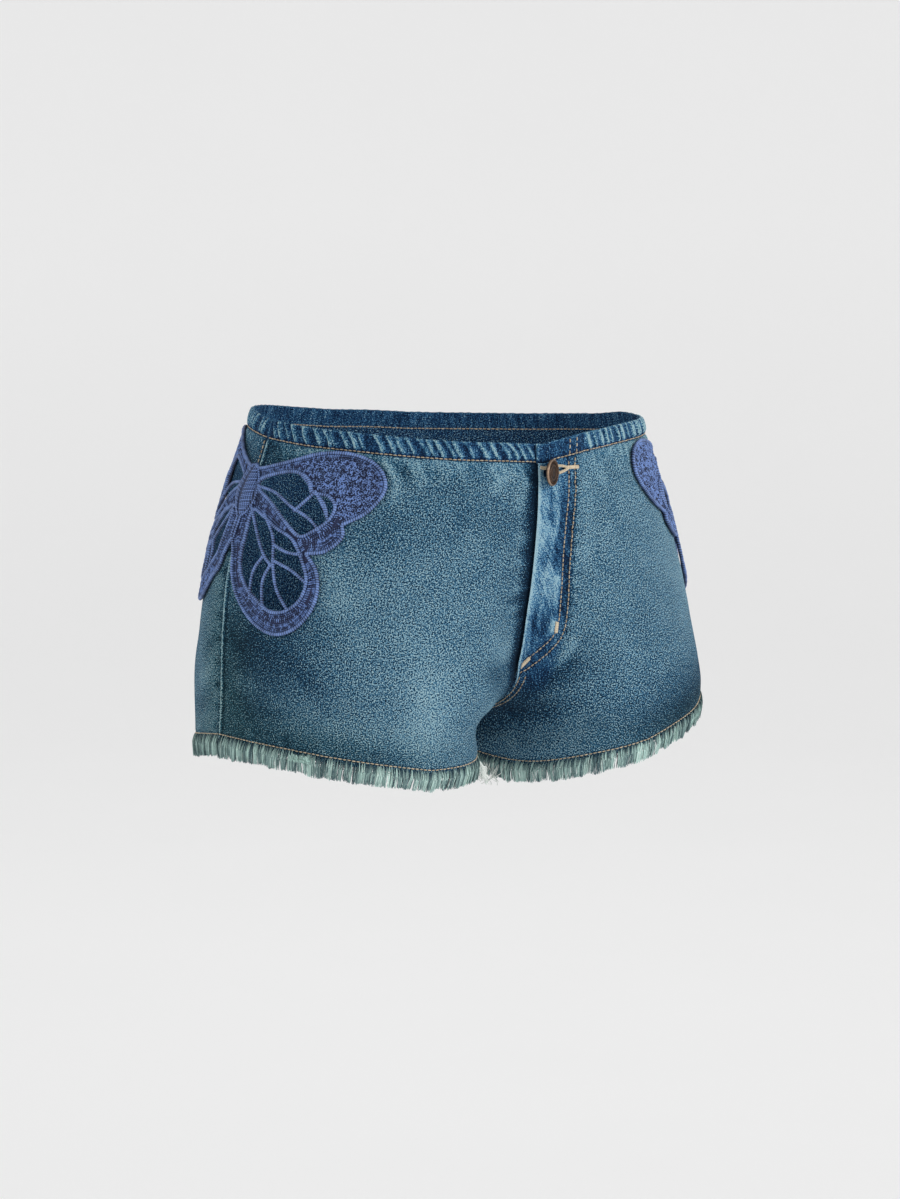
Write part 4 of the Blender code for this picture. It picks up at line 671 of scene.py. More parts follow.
SOFT_PLIES = Wave((1.0, 0.5), 20.0, 0.40, 0.6, 2.0, 1.0, 0.16)
LACE_PLIES = Wave((1.0, 0.5), 20.0, 0.22, 0.6, 2.0, 1.0, 0.36)
LACE_ROWS = Wave((1.0, 1.0), 75.0, 0.35, 5.0, 2.0, 1.0, 0.12)
WORN_GRAIN = 0.42           # share of the grain that is left where the cloth is streaked
GRAIN_HEIGHT = 1.6          # over the twill's
LACE_TONE = 0.45            # middle tone of the lace's ground
# Roughness at a pattern's low and high, the height and strength of its relief, and the sheen
DENIM_ROUGHNESS, LACE_ROUGHNESS, BRASS_ROUGHNESS = (0.97, 0.82), (0.90, 0.70), (0.52, 0.30)
THREAD_ROUGHNESS_SWING = 0.1
DENIM_RELIEF, THREAD_RELIEF = (0.18 * MM, 0.7), (0.10 * MM, 0.6)
LACE_RELIEF, BRASS_RELIEF = (0.25 * MM, 0.9), (0.12 * MM, 0.5)
DENIM_SPECULAR = 0.08
DENIM_SHEEN = (0.03, 0.5, (0.40, 0.60, 0.80))   # weight, roughness and tint
THREAD_SHEEN_ROUGHNESS = 0.4

# Threads: their dark, light and palest colours
Thread = namedtuple("Thread", "name dark light palest roughness sheen plies")
TAN_THREAD = Thread("tan_thread", (0.160, 0.115, 0.070), (0.780, 0.660, 0.480),
                    (0.780, 0.660, 0.480), 0.75, 0.15, SOFT_PLIES)
LACE_THREAD = Thread("lace_thread", (0.001, 0.005, 0.030), (0.190, 0.315, 0.672),
                     (0.190, 0.315, 0.672), 0.66, 0.06, LACE_PLIES)
FRAYED_THREAD = Thread("frayed_thread", (0.008, 0.044, 0.070), (0.560, 0.810, 0.740),
                       (0.860, 0.870, 0.830), 0.85, 0.10, SOFT_PLIES)
LACE_GROUND_STOPS = ((0.25, (0.004, 0.008, 0.030)), (0.80, (0.042, 0.062, 0.175)))
BRASS_STOPS = ((0.10, (0.022, 0.013, 0.010)), (0.55, (0.095, 0.058, 0.040)),
               (0.95, (0.400, 0.280, 0.200)))


# ---------------------------------------------------------------- curves and the skin

def smooth(value):
    """0 below 0, 1 above 1, with soft ends between."""
    value = np.clip(value, 0.0, 1.0)
    return value * value * (3.0 - 2.0 * value)


def bell(away, width):
    """1 where away is 0, falling softly to 0 on both sides over the width."""
    return np.exp(-(away / width)**2)


def columns(rows, names):
    """The named columns of a table, as an array."""
    return np.array([[getattr(row, name) for name in names.split()] for row in rows], float)


def hermite(u, start, leave, end, arrive, span=1.0):
    """A cubic curve between two points, by its tangents there, which are for a unit of the span."""
    return ((2 * u**3 - 3 * u**2 + 1) * start + (u**3 - 2 * u**2 + u) * span * leave
            + (3 * u**2 - 2 * u**3) * end + (u**3 - u**2) * span * arrive)


def through(levels, values, wanted):
    """A smooth curve through a table's rows, read at the wanted levels."""
    step = np.diff(levels)
    slope = np.diff(values, axis=0) / step[:, None]
    tangent = np.empty_like(values)
    weight = step[:-1] + step[1:]
    tangent[1:-1] = (slope[:-1] * step[1:, None] + slope[1:] * step[:-1, None]) / weight[:, None]
    tangent[0] = 1.5 * slope[0] - 0.5 * tangent[1]
    tangent[-1] = 1.5 * slope[-1] - 0.5 * tangent[-2]
    for index, flat in enumerate(np.abs(slope) < 1e-9):
        tangent[index][flat] = 0.0
        tangent[index + 1][flat] = 0.0
    row = np.clip(np.searchsorted(levels, wanted, side="right") - 1, 0, len(step) - 1)
    u = ((wanted - levels[row]) / step[row])[:, None]
    return hermite(u, values[row], tangent[row], values[row + 1], tangent[row + 1], step[row][:, None])


def bezier(start, first, second, end, u):
    """Cubic curves, one for each row of the four arrays of points."""
    u = u[None, :, None]
    start, first, second, end = (points[:, None, :] for points in (start, first, second, end))
    return (1 - u)**3 * start + 3 * (1 - u)**2 * u * first + 3 * (1 - u) * u * u * second + u**3 * end


def spread(*values):
    """Values as arrays of floats of one length."""
    return np.broadcast_arrays(*(np.asarray(value, float) for value in values))


def pairs(across, down):
    """Places of a plan, as (across, down) in the last axis."""
    return np.stack(spread(across, down), -1)


def placed(place, spots, lift):
    """Points for places of a plan, in an array of the same form."""
    across, down, lift = spread(spots[..., 0], spots[..., 1], lift)
    return place(across.ravel(), down.ravel(), lift.ravel()).reshape(*across.shape, 3)


def run_along(line):
    """Each point's way along a line."""
    return np.concatenate([[0.0], np.cumsum(np.linalg.norm(np.diff(line, axis=0), axis=1))])


def edge_drop(table, share, leg, facing):
    """How far an edge drops at a share of the way from the rise to the side."""
    name = ("front" if facing == FRONT else "back") + ("_right" if leg == RIGHT else "_left")
    return through(columns(table, "share")[:, 0], columns(table, name), share)[:, 0]


class Quarter:
    """The front or the back of one leg's skin."""

    def __init__(self, rows, facing, leg):
        level = np.linspace(0.0, 1.0, LEVELS)
        side = through(columns(SIDE_SEAM, "level")[:, 0], columns(SIDE_SEAM, "x y z"), level)
        rise_x, rise_y, rise_z, turn, fore_x, fore_y, fore_z, square = through(
            columns(rows, "level")[:, 0], columns(rows, SECTION_COLUMNS), level).T
        turn = np.radians(turn)
        rise = np.stack([rise_x, rise_y, rise_z], 1)
        fore = np.stack([fore_x, fore_y, fore_z], 1)
        reach = HANDLE_REACH * np.linalg.norm((fore - rise)[:, :2], axis=1)
        flat = np.zeros(LEVELS)
        fall = fore_z - rise_z
        climb = side[:, 2] - fore_z
        leave = rise + np.stack([reach * np.cos(turn), facing * reach * np.sin(turn),
                                 LEAVE_FALL * fall], 1)
        arrive = fore - np.stack([reach, flat, ARRIVE_FALL * fall], 1)
        corner = fore + np.stack([square * (side[:, 0] - fore_x), flat, CORNER_CLIMB * climb], 1)
        close = side + np.stack([flat, square * (fore_y - side[:, 1]), -CLOSE_CLIMB * climb], 1)
        u = np.linspace(0.0, 1.0, STATIONS)
        section = np.concatenate([bezier(rise, leave, arrive, fore, u),
                                  bezier(fore, corner, close, side, u)[:, 1:]], 1)
        share = np.linspace(0.0, 1.0, STATIONS)
        self.points = np.empty((LEVELS, STATIONS, 3))
        for row in range(LEVELS):
            length = run_along(section[row])
            for axis in range(3):
                self.points[row, :, axis] = np.interp(share, length / length[-1], section[row, :, axis])
        self.points[..., 0] *= leg
        sway = WAIST_SWAY + (HEM_SWAY - WAIST_SWAY) * level
        self.points[..., 2] += self.points[..., 0] * sway[:, None]
        waist_fade = 1.0 - smooth(level[:, None] / WAIST_DROP_END)
        begin = CROTCH_LEVEL + (HEM_DROP_START - CROTCH_LEVEL) * smooth(share / RISE_SHARE)
        hem_fade = smooth((level[:, None] - begin) / (1.0 - begin))
        for table, fade in ((WAIST_DROP, waist_fade), (HEM_DROP, hem_fade)):
            self.points[..., 2] -= fade * edge_drop(table, share, leg, facing)
        normal = np.cross(np.gradient(self.points, axis=0), np.gradient(self.points, axis=1))
        self.normals = -leg * facing * normal / np.linalg.norm(normal, axis=2, keepdims=True)
        self.lengths = np.linalg.norm(np.diff(self.points, axis=1), axis=2).sum(axis=1)

    def length(self, down):
        """The section's length from the side seam to the rise."""
        return np.interp(np.asarray(down) / SEAM_LENGTH * (LEVELS - 1), np.arange(LEVELS), self.lengths)

    def flipped(self, places):
        """Places measured from the rise instead of from the side seam, or the other way round."""
        return pairs(self.length(places[:, 1]) - places[:, 0], places[:, 1])

    def place(self, across, down, lift):
        """Points on the quarter; below the raw edge they go on in the cloth's own direction."""
        across, down, lift = spread(across, down, lift)
        row = np.clip(down / SEAM_LENGTH, 0.0, 1.0) * (LEVELS - 1)
        column = np.clip(1.0 - across / self.length(down), 0.0, 1.0) * (STATIONS - 1)
        top = np.clip(row.astype(int), 0, LEVELS - 2)
        left = np.clip(column.astype(int), 0, STATIONS - 2)
        v, u = (row - top)[:, None], (column - left)[:, None]

        def read(grid):
            return ((1 - v) * ((1 - u) * grid[top, left] + u * grid[top, left + 1])
                    + v * ((1 - u) * grid[top + 1, left] + u * grid[top + 1, left + 1]))

        normal = read(self.normals)
        normal /= np.linalg.norm(normal, axis=1, keepdims=True)
        fall = self.points[-1, left] - self.points[-2, left]
        fall /= np.linalg.norm(fall, axis=1, keepdims=True)
        below = np.maximum(down - SEAM_LENGTH, 0.0)
        return read(self.points) + normal * lift[:, None] + fall * below[:, None]


class Leg:
    """Both quarters of one leg. Across is positive on the front and negative on the back."""

    def __init__(self, side):
        self.side = side
        self.front = Quarter(FRONT_SECTIONS, FRONT, side)
        self.back = Quarter(BACK_SECTIONS, BACK, side)

    def wing(self, across, down):
        """Where a place of the butterfly's plan lies on this leg."""
        lean = WING_LEAN * (WING_LEAN_DOWN - down) * smooth(across / WING_ROOT) * (self.side == LEFT)
        start, end = WING_SHORT_ROWS
        lower = smooth((down - start) / (end - start)) * smooth(-across / BODY_WIDTH)
        return across + lean, down - WING_SHORT * lower

    def place_wing(self, across, down, lift):
        """Points of the butterfly's plan."""
        return self.place(*self.wing(across, down), lift)

    def place(self, across, down, lift):
        across, down, lift = spread(across, down, lift)
        on_front = across >= 0.0
        points = np.empty((len(across), 3))
        points[on_front] = self.front.place(across[on_front], down[on_front], lift[on_front])
        points[~on_front] = self.back.place(-across[~on_front], down[~on_front], lift[~on_front])
        return points


def keep_apart(points, from_rise, leg, facing):
    """Keep points beside the centre seam and the inseam on their own side, and its edge shut."""
    near = from_rise < RISE_MARGIN
    own_x = leg * np.maximum(leg * points[:, 0], 0.0)
    at_seam = (from_rise < 0.1 * MM) & (np.abs(points[:, 0]) < SEAM_CLOSE)
    own_x = np.where(at_seam, 0.0, own_x)
    own_y = INSEAM_Y + facing * np.maximum(facing * (points[:, 1] - INSEAM_Y), 0.0)
    points[:, 0] = np.where(near, own_x, points[:, 0])
    points[:, 1] = np.where(near, own_y, points[:, 1])
    return points


def lap(down):
    """How far the flap's edge lies past the centre front."""
    table = columns(LAP, "level lap")
    return through(table[:, 0], table[:, 1:], np.atleast_1d(down) / SEAM_LENGTH)[:, 0]


def flap_fade(down):
    """1 along the fly, running out to 0 at its lower end."""
    start, end = FLAP_FADE
    return 1.0 - smooth((down / SEAM_LENGTH - start) / (end - start))


def flap_lift(from_centre, down):
    """The lift of the left front over its own skin, highest over the shield."""
    width = 1.0 - smooth((from_centre - FLAP_WIDTH) / FLAP_SLOPE)
    return FLAP_RISE * width * flap_fade(down)


class FlapSide:
    """The left front's skin, carried past the centre onto the right front and lifted at the fly."""

    def __init__(self, right, left):
        self.right, self.left = right.front, left.front

    def place(self, across, down, lift):
        across, down, lift = spread(across, down, lift)
        from_centre = self.left.length(down) - across
        raised = lift + flap_lift(from_centre, down)
        points = self.left.place(across, down, raised)
        past = from_centre < 0.0
        if past.any():
            beyond = self.right.length(down[past]) + from_centre[past]
            points[past] = self.right.place(beyond, down[past], raised[past])
        points[~past] = keep_apart(points[~past], from_centre[~past], LEFT, FRONT)
        return points


def inside(points, polygon):
    """Which points lie inside a polygon."""
    x, y = points[:, :1], points[:, 1:]
    start, end = polygon, np.roll(polygon, -1, axis=0)
    crosses = (start[:, 1] > y) != (end[:, 1] > y)
    rise = np.where(end[:, 1] == start[:, 1], 1.0, end[:, 1] - start[:, 1])
    where = start[:, 0] + (y - start[:, 1]) * (end[:, 0] - start[:, 0]) / rise
    return (crosses & (x < where)).sum(axis=1) % 2 == 1


def distance(points, polygon):
    """The distance of each point from a polygon's edges."""
    edge = np.roll(polygon, -1, axis=0) - polygon
    along = ((points[:, None] - polygon) * edge).sum(-1) / np.maximum((edge * edge).sum(-1), TINY)
    foot = polygon + np.clip(along, 0.0, 1.0)[..., None] * edge
    return np.linalg.norm(points[:, None] - foot, axis=2).min(axis=1)


def boundary(faces):
    """The directed edges that only one face has."""
    edges = {(start, end) for face in faces for start, end in zip(face, face[1:] + face[:1])}
    return [(start, end) for start, end in edges if (end, start) not in edges]


def rounded(corners, step, closed=False):
    """A smooth curve through a few places, with points about a step apart."""
    corners = np.array(corners, float)
    if closed:
        before, after = np.roll(corners, 1, axis=0), np.roll(corners, -1, axis=0)
        ends = np.roll(corners, -1, axis=0)
    else:
        before = np.concatenate([2 * corners[:1] - corners[1:2], corners[:-1]])
        after = np.concatenate([corners[1:], 2 * corners[-1:] - corners[-2:-1]])
        ends = corners[1:]
    tangent = 0.5 * (after - before)
    next_tangent = np.roll(tangent, -1, axis=0)
    curve = []
    for index, end in enumerate(ends):
        start = corners[index]
        count = max(1, round(float(np.linalg.norm(end - start)) / step))
        for u in np.arange(count) / count:
            curve.append(hermite(u, start, tangent[index], end, next_tangent[index]))
    if not closed:
        curve.append(corners[-1])
    return np.array(curve)


def plan_mesh(outline, cuts, fill):
    """Triangles of a flat plan, inside its outline and outside its cuts, and following both."""
    points, edges = [], []
    for polygon in (outline, *cuts):
        first, count = len(points), len(polygon)
        points += [Vector(point) for point in polygon]
        edges += [(first + index, first + (index + 1) % count) for index in range(count)]
    points += [Vector(point) for point in fill]
    points, _, faces, *_ = delaunay_2d_cdt(points, edges, [], 0, 1e-7)
    plan = np.array([tuple(point) for point in points])
    faces = np.array([tuple(face) for face in faces])
    return plan, faces[uncut(plan[faces].mean(axis=1), outline, cuts)]


def uncut(points, outline, cuts):
    """Which points lie inside an outline and outside its cuts."""
    found = inside(points, outline)
    for cut in cuts:
        found &= ~inside(points, cut)
    return found


# ---------------------------------------------------------------- materials

class Nodes:
    """A material and a short way of adding nodes to it."""

    def __init__(self, name, roughness, metallic=0.0):
        self.material = bpy.data.materials.new(name)
        self.material.use_nodes = True
        self.tree = self.material.node_tree
        self.shader = self.tree.nodes["Principled BSDF"]
        self.shader.inputs["Roughness"].default_value = roughness
        self.shader.inputs["Metallic"].default_value = metallic

    def add(self, kind, inputs, **settings):
        """A new node's outputs. inputs are values or sockets by name or number."""
        node = self.tree.nodes.new(kind)
        for name, value in settings.items():
            setattr(node, name, value)
        for key, value in inputs.items():
            self.feed(node.inputs[key], value)
        return node.outputs

    def feed(self, socket, value):
        if isinstance(value, bpy.types.NodeSocket):
            self.tree.links.new(value, socket)
        else:
            socket.default_value = value

    def attribute(self, name):
        return self.add("ShaderNodeAttribute", {}, attribute_name=name)["Fac"]

    def place(self, stretch=(1.0, 1.0), turn=0.0):
        """The cloth's own coordinates in millimetres, stretched and turned."""
        uv = self.add("ShaderNodeUVMap", {}, uv_map="cloth")["UV"]
        scale = tuple(part / MM for part in (*stretch, 1.0))
        return self.add("ShaderNodeMapping", {"Vector": uv, "Rotation": (0.0, 0.0, math.radians(turn)),
                                              "Scale": scale}, vector_type="POINT")["Vector"]

    def noise(self, row):
        return self.add("ShaderNodeTexNoise", {
            "Vector": self.place(row.stretch, row.turn), "Scale": row.scale, "Detail": row.detail,
            "Roughness": row.roughness})["Fac"]

    def wave(self, row):
        return self.add("ShaderNodeTexWave", {
            "Vector": self.place(row.stretch, row.turn), "Scale": row.scale,
            "Distortion": row.distortion, "Detail": row.detail, "Detail Scale": row.detail_scale})["Fac"]

    def math(self, operation, first, second=0.0, third=0.0):
        return self.add("ShaderNodeMath", {0: first, 1: second, 2: third}, operation=operation)["Value"]

    def total(self, first, *others):
        for other in others:
            first = self.math("ADD", first, other)
        return first

    def scaled(self, value, low, high):
        """A value from 0 to 1, spread from low to high."""
        return self.math("MULTIPLY_ADD", value, high - low, low)

    def swung(self, value, row, middle=0.0):
        """A pattern's value, spread by its swing to both sides of the middle."""
        return self.scaled(value, middle - row.swing, middle + row.swing)

    def ramp(self, factor, stops):
        """A colour for each level of a factor."""
        node = self.tree.nodes.new("ShaderNodeValToRGB")
        self.feed(node.inputs["Fac"], factor)
        elements = node.color_ramp.elements
        while len(elements) < len(stops):
            elements.new(0.5)
        for element, (level, colour) in zip(elements, stops):
            element.position = level
            element.color = (*colour, 1.0)
        return node.outputs["Color"]

    def mix(self, factor, first, second):
        return self.add("ShaderNodeMix", {0: factor, 6: first, 7: second}, data_type="RGBA")[2]

    def colour(self, value):
        self.feed(self.shader.inputs["Base Color"], value)

    def rough(self, value):
        self.feed(self.shader.inputs["Roughness"], value)

    def bump(self, height, depth, strength=1.0):
        normal = self.add("ShaderNodeBump", {"Height": height, "Distance": depth, "Strength": strength})
        self.feed(self.shader.inputs["Normal"], normal["Normal"])

    def sheen(self, weight, roughness, tint):
        self.shader.inputs["Sheen Weight"].default_value = weight
        self.shader.inputs["Sheen Roughness"].default_value = roughness
        self.shader.inputs["Sheen Tint"].default_value = (*tint, 1.0)


def denim_material(name, level):
    """Washed twill: light flecks of weft on indigo warp, slubs, and wash, wear and painted shade by place.
    """
    nodes = Nodes(name, 0.90)
    nodes.shader.inputs["Specular IOR Level"].default_value = DENIM_SPECULAR
    grain, twill, wear = nodes.noise(GRAIN), nodes.wave(TWILL), nodes.attribute("wear")
    fine = nodes.total(nodes.swung(grain, GRAIN), nodes.swung(nodes.noise(FLECK), FLECK))
    tone = nodes.total(nodes.math("MULTIPLY", fine, nodes.scaled(wear, 1.0, WORN_GRAIN)),
                       nodes.swung(nodes.noise(SLUB), SLUB),
                       nodes.swung(nodes.noise(CLOUD), CLOUD),
                       nodes.swung(twill, TWILL),
                       nodes.math("MULTIPLY", nodes.swung(nodes.noise(STREAK), STREAK), wear),
                       nodes.attribute("shade"), level)
    blue, green = nodes.ramp(tone, DENIM_STOPS), nodes.ramp(tone, GREEN_STOPS)
    nodes.colour(nodes.mix(nodes.attribute("green"), blue, green))
    nodes.rough(nodes.scaled(grain, *DENIM_ROUGHNESS))
    nodes.bump(nodes.total(twill, nodes.math("MULTIPLY", grain, GRAIN_HEIGHT)), *DENIM_RELIEF)
    nodes.sheen(*DENIM_SHEEN)
    return nodes.material


def thread_material(thread):
    """Twisted thread: lighter and darker by the stitch, and on the lace lighter on top by painted light,
    with its plies across.

    A shade of 0 is dark, 1 is light, and the palest threads have a shade over 1.
    """
    nodes = Nodes(thread.name, thread.roughness)
    plies, fuzz = nodes.wave(thread.plies), nodes.noise(FUZZ)
    tone = nodes.total(nodes.attribute("shade"), nodes.swung(plies, thread.plies),
                       nodes.swung(fuzz, FUZZ))
    stops = ((0.0, thread.dark), (LIGHT_STOP, thread.light), (1.0, thread.palest))
    nodes.colour(nodes.ramp(nodes.math("MULTIPLY", tone, LIGHT_STOP), stops))
    nodes.rough(nodes.scaled(fuzz, thread.roughness - THREAD_ROUGHNESS_SWING,
                             thread.roughness + THREAD_ROUGHNESS_SWING))
    nodes.bump(plies, *THREAD_RELIEF)
    nodes.sheen(thread.sheen, THREAD_SHEEN_ROUGHNESS, thread.light)
    return nodes.material


def lace_ground_material():
    """The embroidered ground: close dark stitches with a little light thread."""
    nodes = Nodes("lace_ground", 0.80)
    stitches = nodes.noise(LACE_NOISE)
    tone = nodes.total(nodes.swung(stitches, LACE_NOISE, LACE_TONE),
                       nodes.swung(nodes.wave(LACE_ROWS), LACE_ROWS))
    nodes.colour(nodes.ramp(tone, LACE_GROUND_STOPS))
    nodes.rough(nodes.scaled(stitches, *LACE_ROUGHNESS))
    nodes.bump(tone, *LACE_RELIEF)
    return nodes.material


def brass_material():
    """Worn antique copper-brown metal, brighter on its rubbed rings."""
    nodes = Nodes("antique_brass", 0.40, 0.9)
    spots = nodes.noise(SPOTS)
    nodes.colour(nodes.ramp(nodes.total(nodes.attribute("shade"), nodes.swung(spots, SPOTS)),
                            BRASS_STOPS))
    nodes.rough(nodes.scaled(spots, *BRASS_ROUGHNESS))
    nodes.bump(spots, *BRASS_RELIEF)
    return nodes.material


def room_material():
    nodes = Nodes("room", 0.9)
    grain = nodes.add("ShaderNodeTexNoise", {
        "Vector": nodes.add("ShaderNodeTexCoord", {})["Object"], "Scale": 3.0, "Detail": 2.0,
        "Roughness": 0.6})["Fac"]
    nodes.colour(nodes.ramp(grain, ((0.0, (PALE - PALE_GRAIN,) * 3), (1.0, (PALE + PALE_GRAIN,) * 3))))
    nodes.shader.inputs["Emission Color"].default_value = (1.0, 1.0, 1.0, 1.0)
    nodes.shader.inputs["Emission Strength"].default_value = ROOM_GLOW
    return nodes.material


# ---------------------------------------------------------------- pieces

def finish_piece(name, mesh, material, replaces=(), sharp_degrees=50.0):
    """Link a mesh as a piece that rides with the body and stands for its nodes."""
    mesh.materials.append(material)
    mesh.shade_smooth()
    mesh.set_sharp_from_angle(angle=math.radians(sharp_degrees))
    piece = bpy.data.objects.new(name, mesh)
    bpy.context.scene.collection.objects.link(piece)
    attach(piece, "root")
    if replaces:
        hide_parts(*replaces)
    return piece


def set_values(mesh, name, values):
    """A number for each point of a mesh, under a name that its material reads."""
    attribute = mesh.attributes.new(name, "FLOAT", "POINT")
    attribute.data.foreach_set("value", np.ascontiguousarray(values, dtype=np.float32))


def set_places(mesh, places):
    """The cloth's own coordinates of each point, as a UV map."""
    layer = mesh.uv_layers.new(name="cloth")
    corners = np.empty(len(mesh.loops), np.int32)
    mesh.loops.foreach_get("vertex_index", corners)
    layer.uv.foreach_set("vector", np.ascontiguousarray(places[corners], dtype=np.float32).ravel())


def cloth_piece(name, points, faces, places, values, material, node, sharp_degrees=60.0):
    """A piece of cloth, with the values that its material reads."""
    mesh = mesh_from(name, points, faces)
    for value_name, value in values.items():
        set_values(mesh, value_name, np.broadcast_to(value, len(points)))
    set_places(mesh, places)
    return finish_piece(name, mesh, material, (node,), sharp_degrees)


def unit(vectors):
    return vectors / np.maximum(np.linalg.norm(vectors, axis=-1, keepdims=True), TINY)


def circle(sides):
    """Points of a circle of radius 1, one for each side of a turned form."""
    turns = np.arange(sides) / sides * 2 * math.pi
    return np.stack([np.cos(turns), np.sin(turns)], -1)


class Heap:
    """Many small closed forms gathered into one mesh."""

    def __init__(self):
        self.points, self.faces, self.shades, self.places = [], [], [], []
        self.count = 0

    def add(self, points, sheets, shades, places):
        """Add a form. sheets are arrays of faces."""
        for faces in sheets:
            self.faces += [tuple(face) for face in (faces + self.count).tolist()]
        self.points.append(points)
        self.shades.append(shades)
        self.places.append(places)
        self.count += len(points)

    def tubes(self, paths, radii, up, sides, shades, top_light=0.0):
        """Closed tubes. paths is (tubes, points, 3) and up (tubes, 3) or (tubes, points, 3).

        radii are for the points of every tube, and shades for the tubes or for each tube's points.
        The last argument is painted light: how much lighter a tube is on top than at its sides.
        """
        count, length = paths.shape[:2]
        radii = np.broadcast_to(radii, (count, length))
        shades = np.asarray(shades, float)
        shades = np.broadcast_to(shades[:, None] if shades.ndim == 1 else shades, (count, length))
        up = up if up.ndim == 3 else up[:, None]
        heading = unit(np.gradient(paths, axis=1))
        across = unit(np.cross(heading, up))
        top = np.cross(across, heading)
        turns = (np.arange(sides) / sides - 0.25) * 2 * math.pi
        ring = (np.cos(turns)[:, None] * across[:, :, None] + np.sin(turns)[:, None] * top[:, :, None])
        points = (paths[:, :, None] + radii[:, :, None, None] * ring).reshape(-1, 3)
        first = (np.arange(count)[:, None, None] * length + np.arange(length - 1)[None, :, None]) * sides
        here, after = first + np.arange(sides), first + (np.arange(sides) + 1) % sides
        sheets = np.stack([here, here + sides, after + sides, after], -1).reshape(-1, 4)
        starts = np.arange(count)[:, None] * length * sides + np.arange(sides)
        ends = (starts + (length - 1) * sides)[:, ::-1]
        steps = np.linalg.norm(np.diff(paths, axis=1), axis=2)
        along = np.concatenate([np.zeros((count, 1)), np.cumsum(steps, axis=1)], axis=1)
        around = np.arange(sides) / sides * 2 * math.pi
        places = np.stack([np.broadcast_to(along[:, :, None], (count, length, sides)),
                           radii[:, :, None] * around], -1).reshape(-1, 2)
        shades = (shades[:, :, None] + top_light * np.sin(turns)).ravel()
        self.add(points, (sheets, starts, ends), shades, places)

    def build(self, name, material, slot, replaces=()):
        mesh = bpy.data.meshes.new(name)
        mesh.from_pydata(np.concatenate(self.points), [], self.faces)
        set_values(mesh, "shade", np.concatenate(self.shades))
        set_places(mesh, np.concatenate(self.places))
        return finish_piece(name, mesh, material, replaces)


def nearest(plan, line):
    """Each place's distance from a line, and the share of the line's length at which it is nearest."""
    start, edge = line[:-1], np.diff(line, axis=0)
    length = np.linalg.norm(edge, axis=1)
    along = ((plan[:, None] - start) * edge).sum(-1) / np.maximum(length * length, TINY)
    along = np.clip(along, 0.0, 1.0)
    away = np.linalg.norm(plan[:, None] - start - along[..., None] * edge, axis=2)
    best = away.argmin(axis=1)
    rows = np.arange(len(plan))
    total = run_along(line)
    return away[rows, best], (total[best] + along[rows, best] * length[best]) / total[-1]


def ridge(plan, line, width, height):
    """A soft ridge along a line, which runs out at both ends."""
    away, share = nearest(plan, line)
    return height * smooth(np.minimum(share, 1.0 - share) / RUN_OUT) * bell(away, width)


# ---------------------------------------------------------------- panels

def from_side(route, step=ROUTE_STEP):
    """A route in millimetres, as a smooth line of places."""
    return rounded(route, step) * MM


def puckers(row, downs, line, share=1.0):
    """Puckers alike, one from each place down. line turns a route into places of the plan."""
    found = []
    for index, down in enumerate(downs):
        route = [(across, down + fall) for across, fall in row.route]
        height = share * row.height * MM * (1.0 + row.unevenness * math.sin(row.pace * index))
        found.append((line(route), row.width * MM, height))
    return found


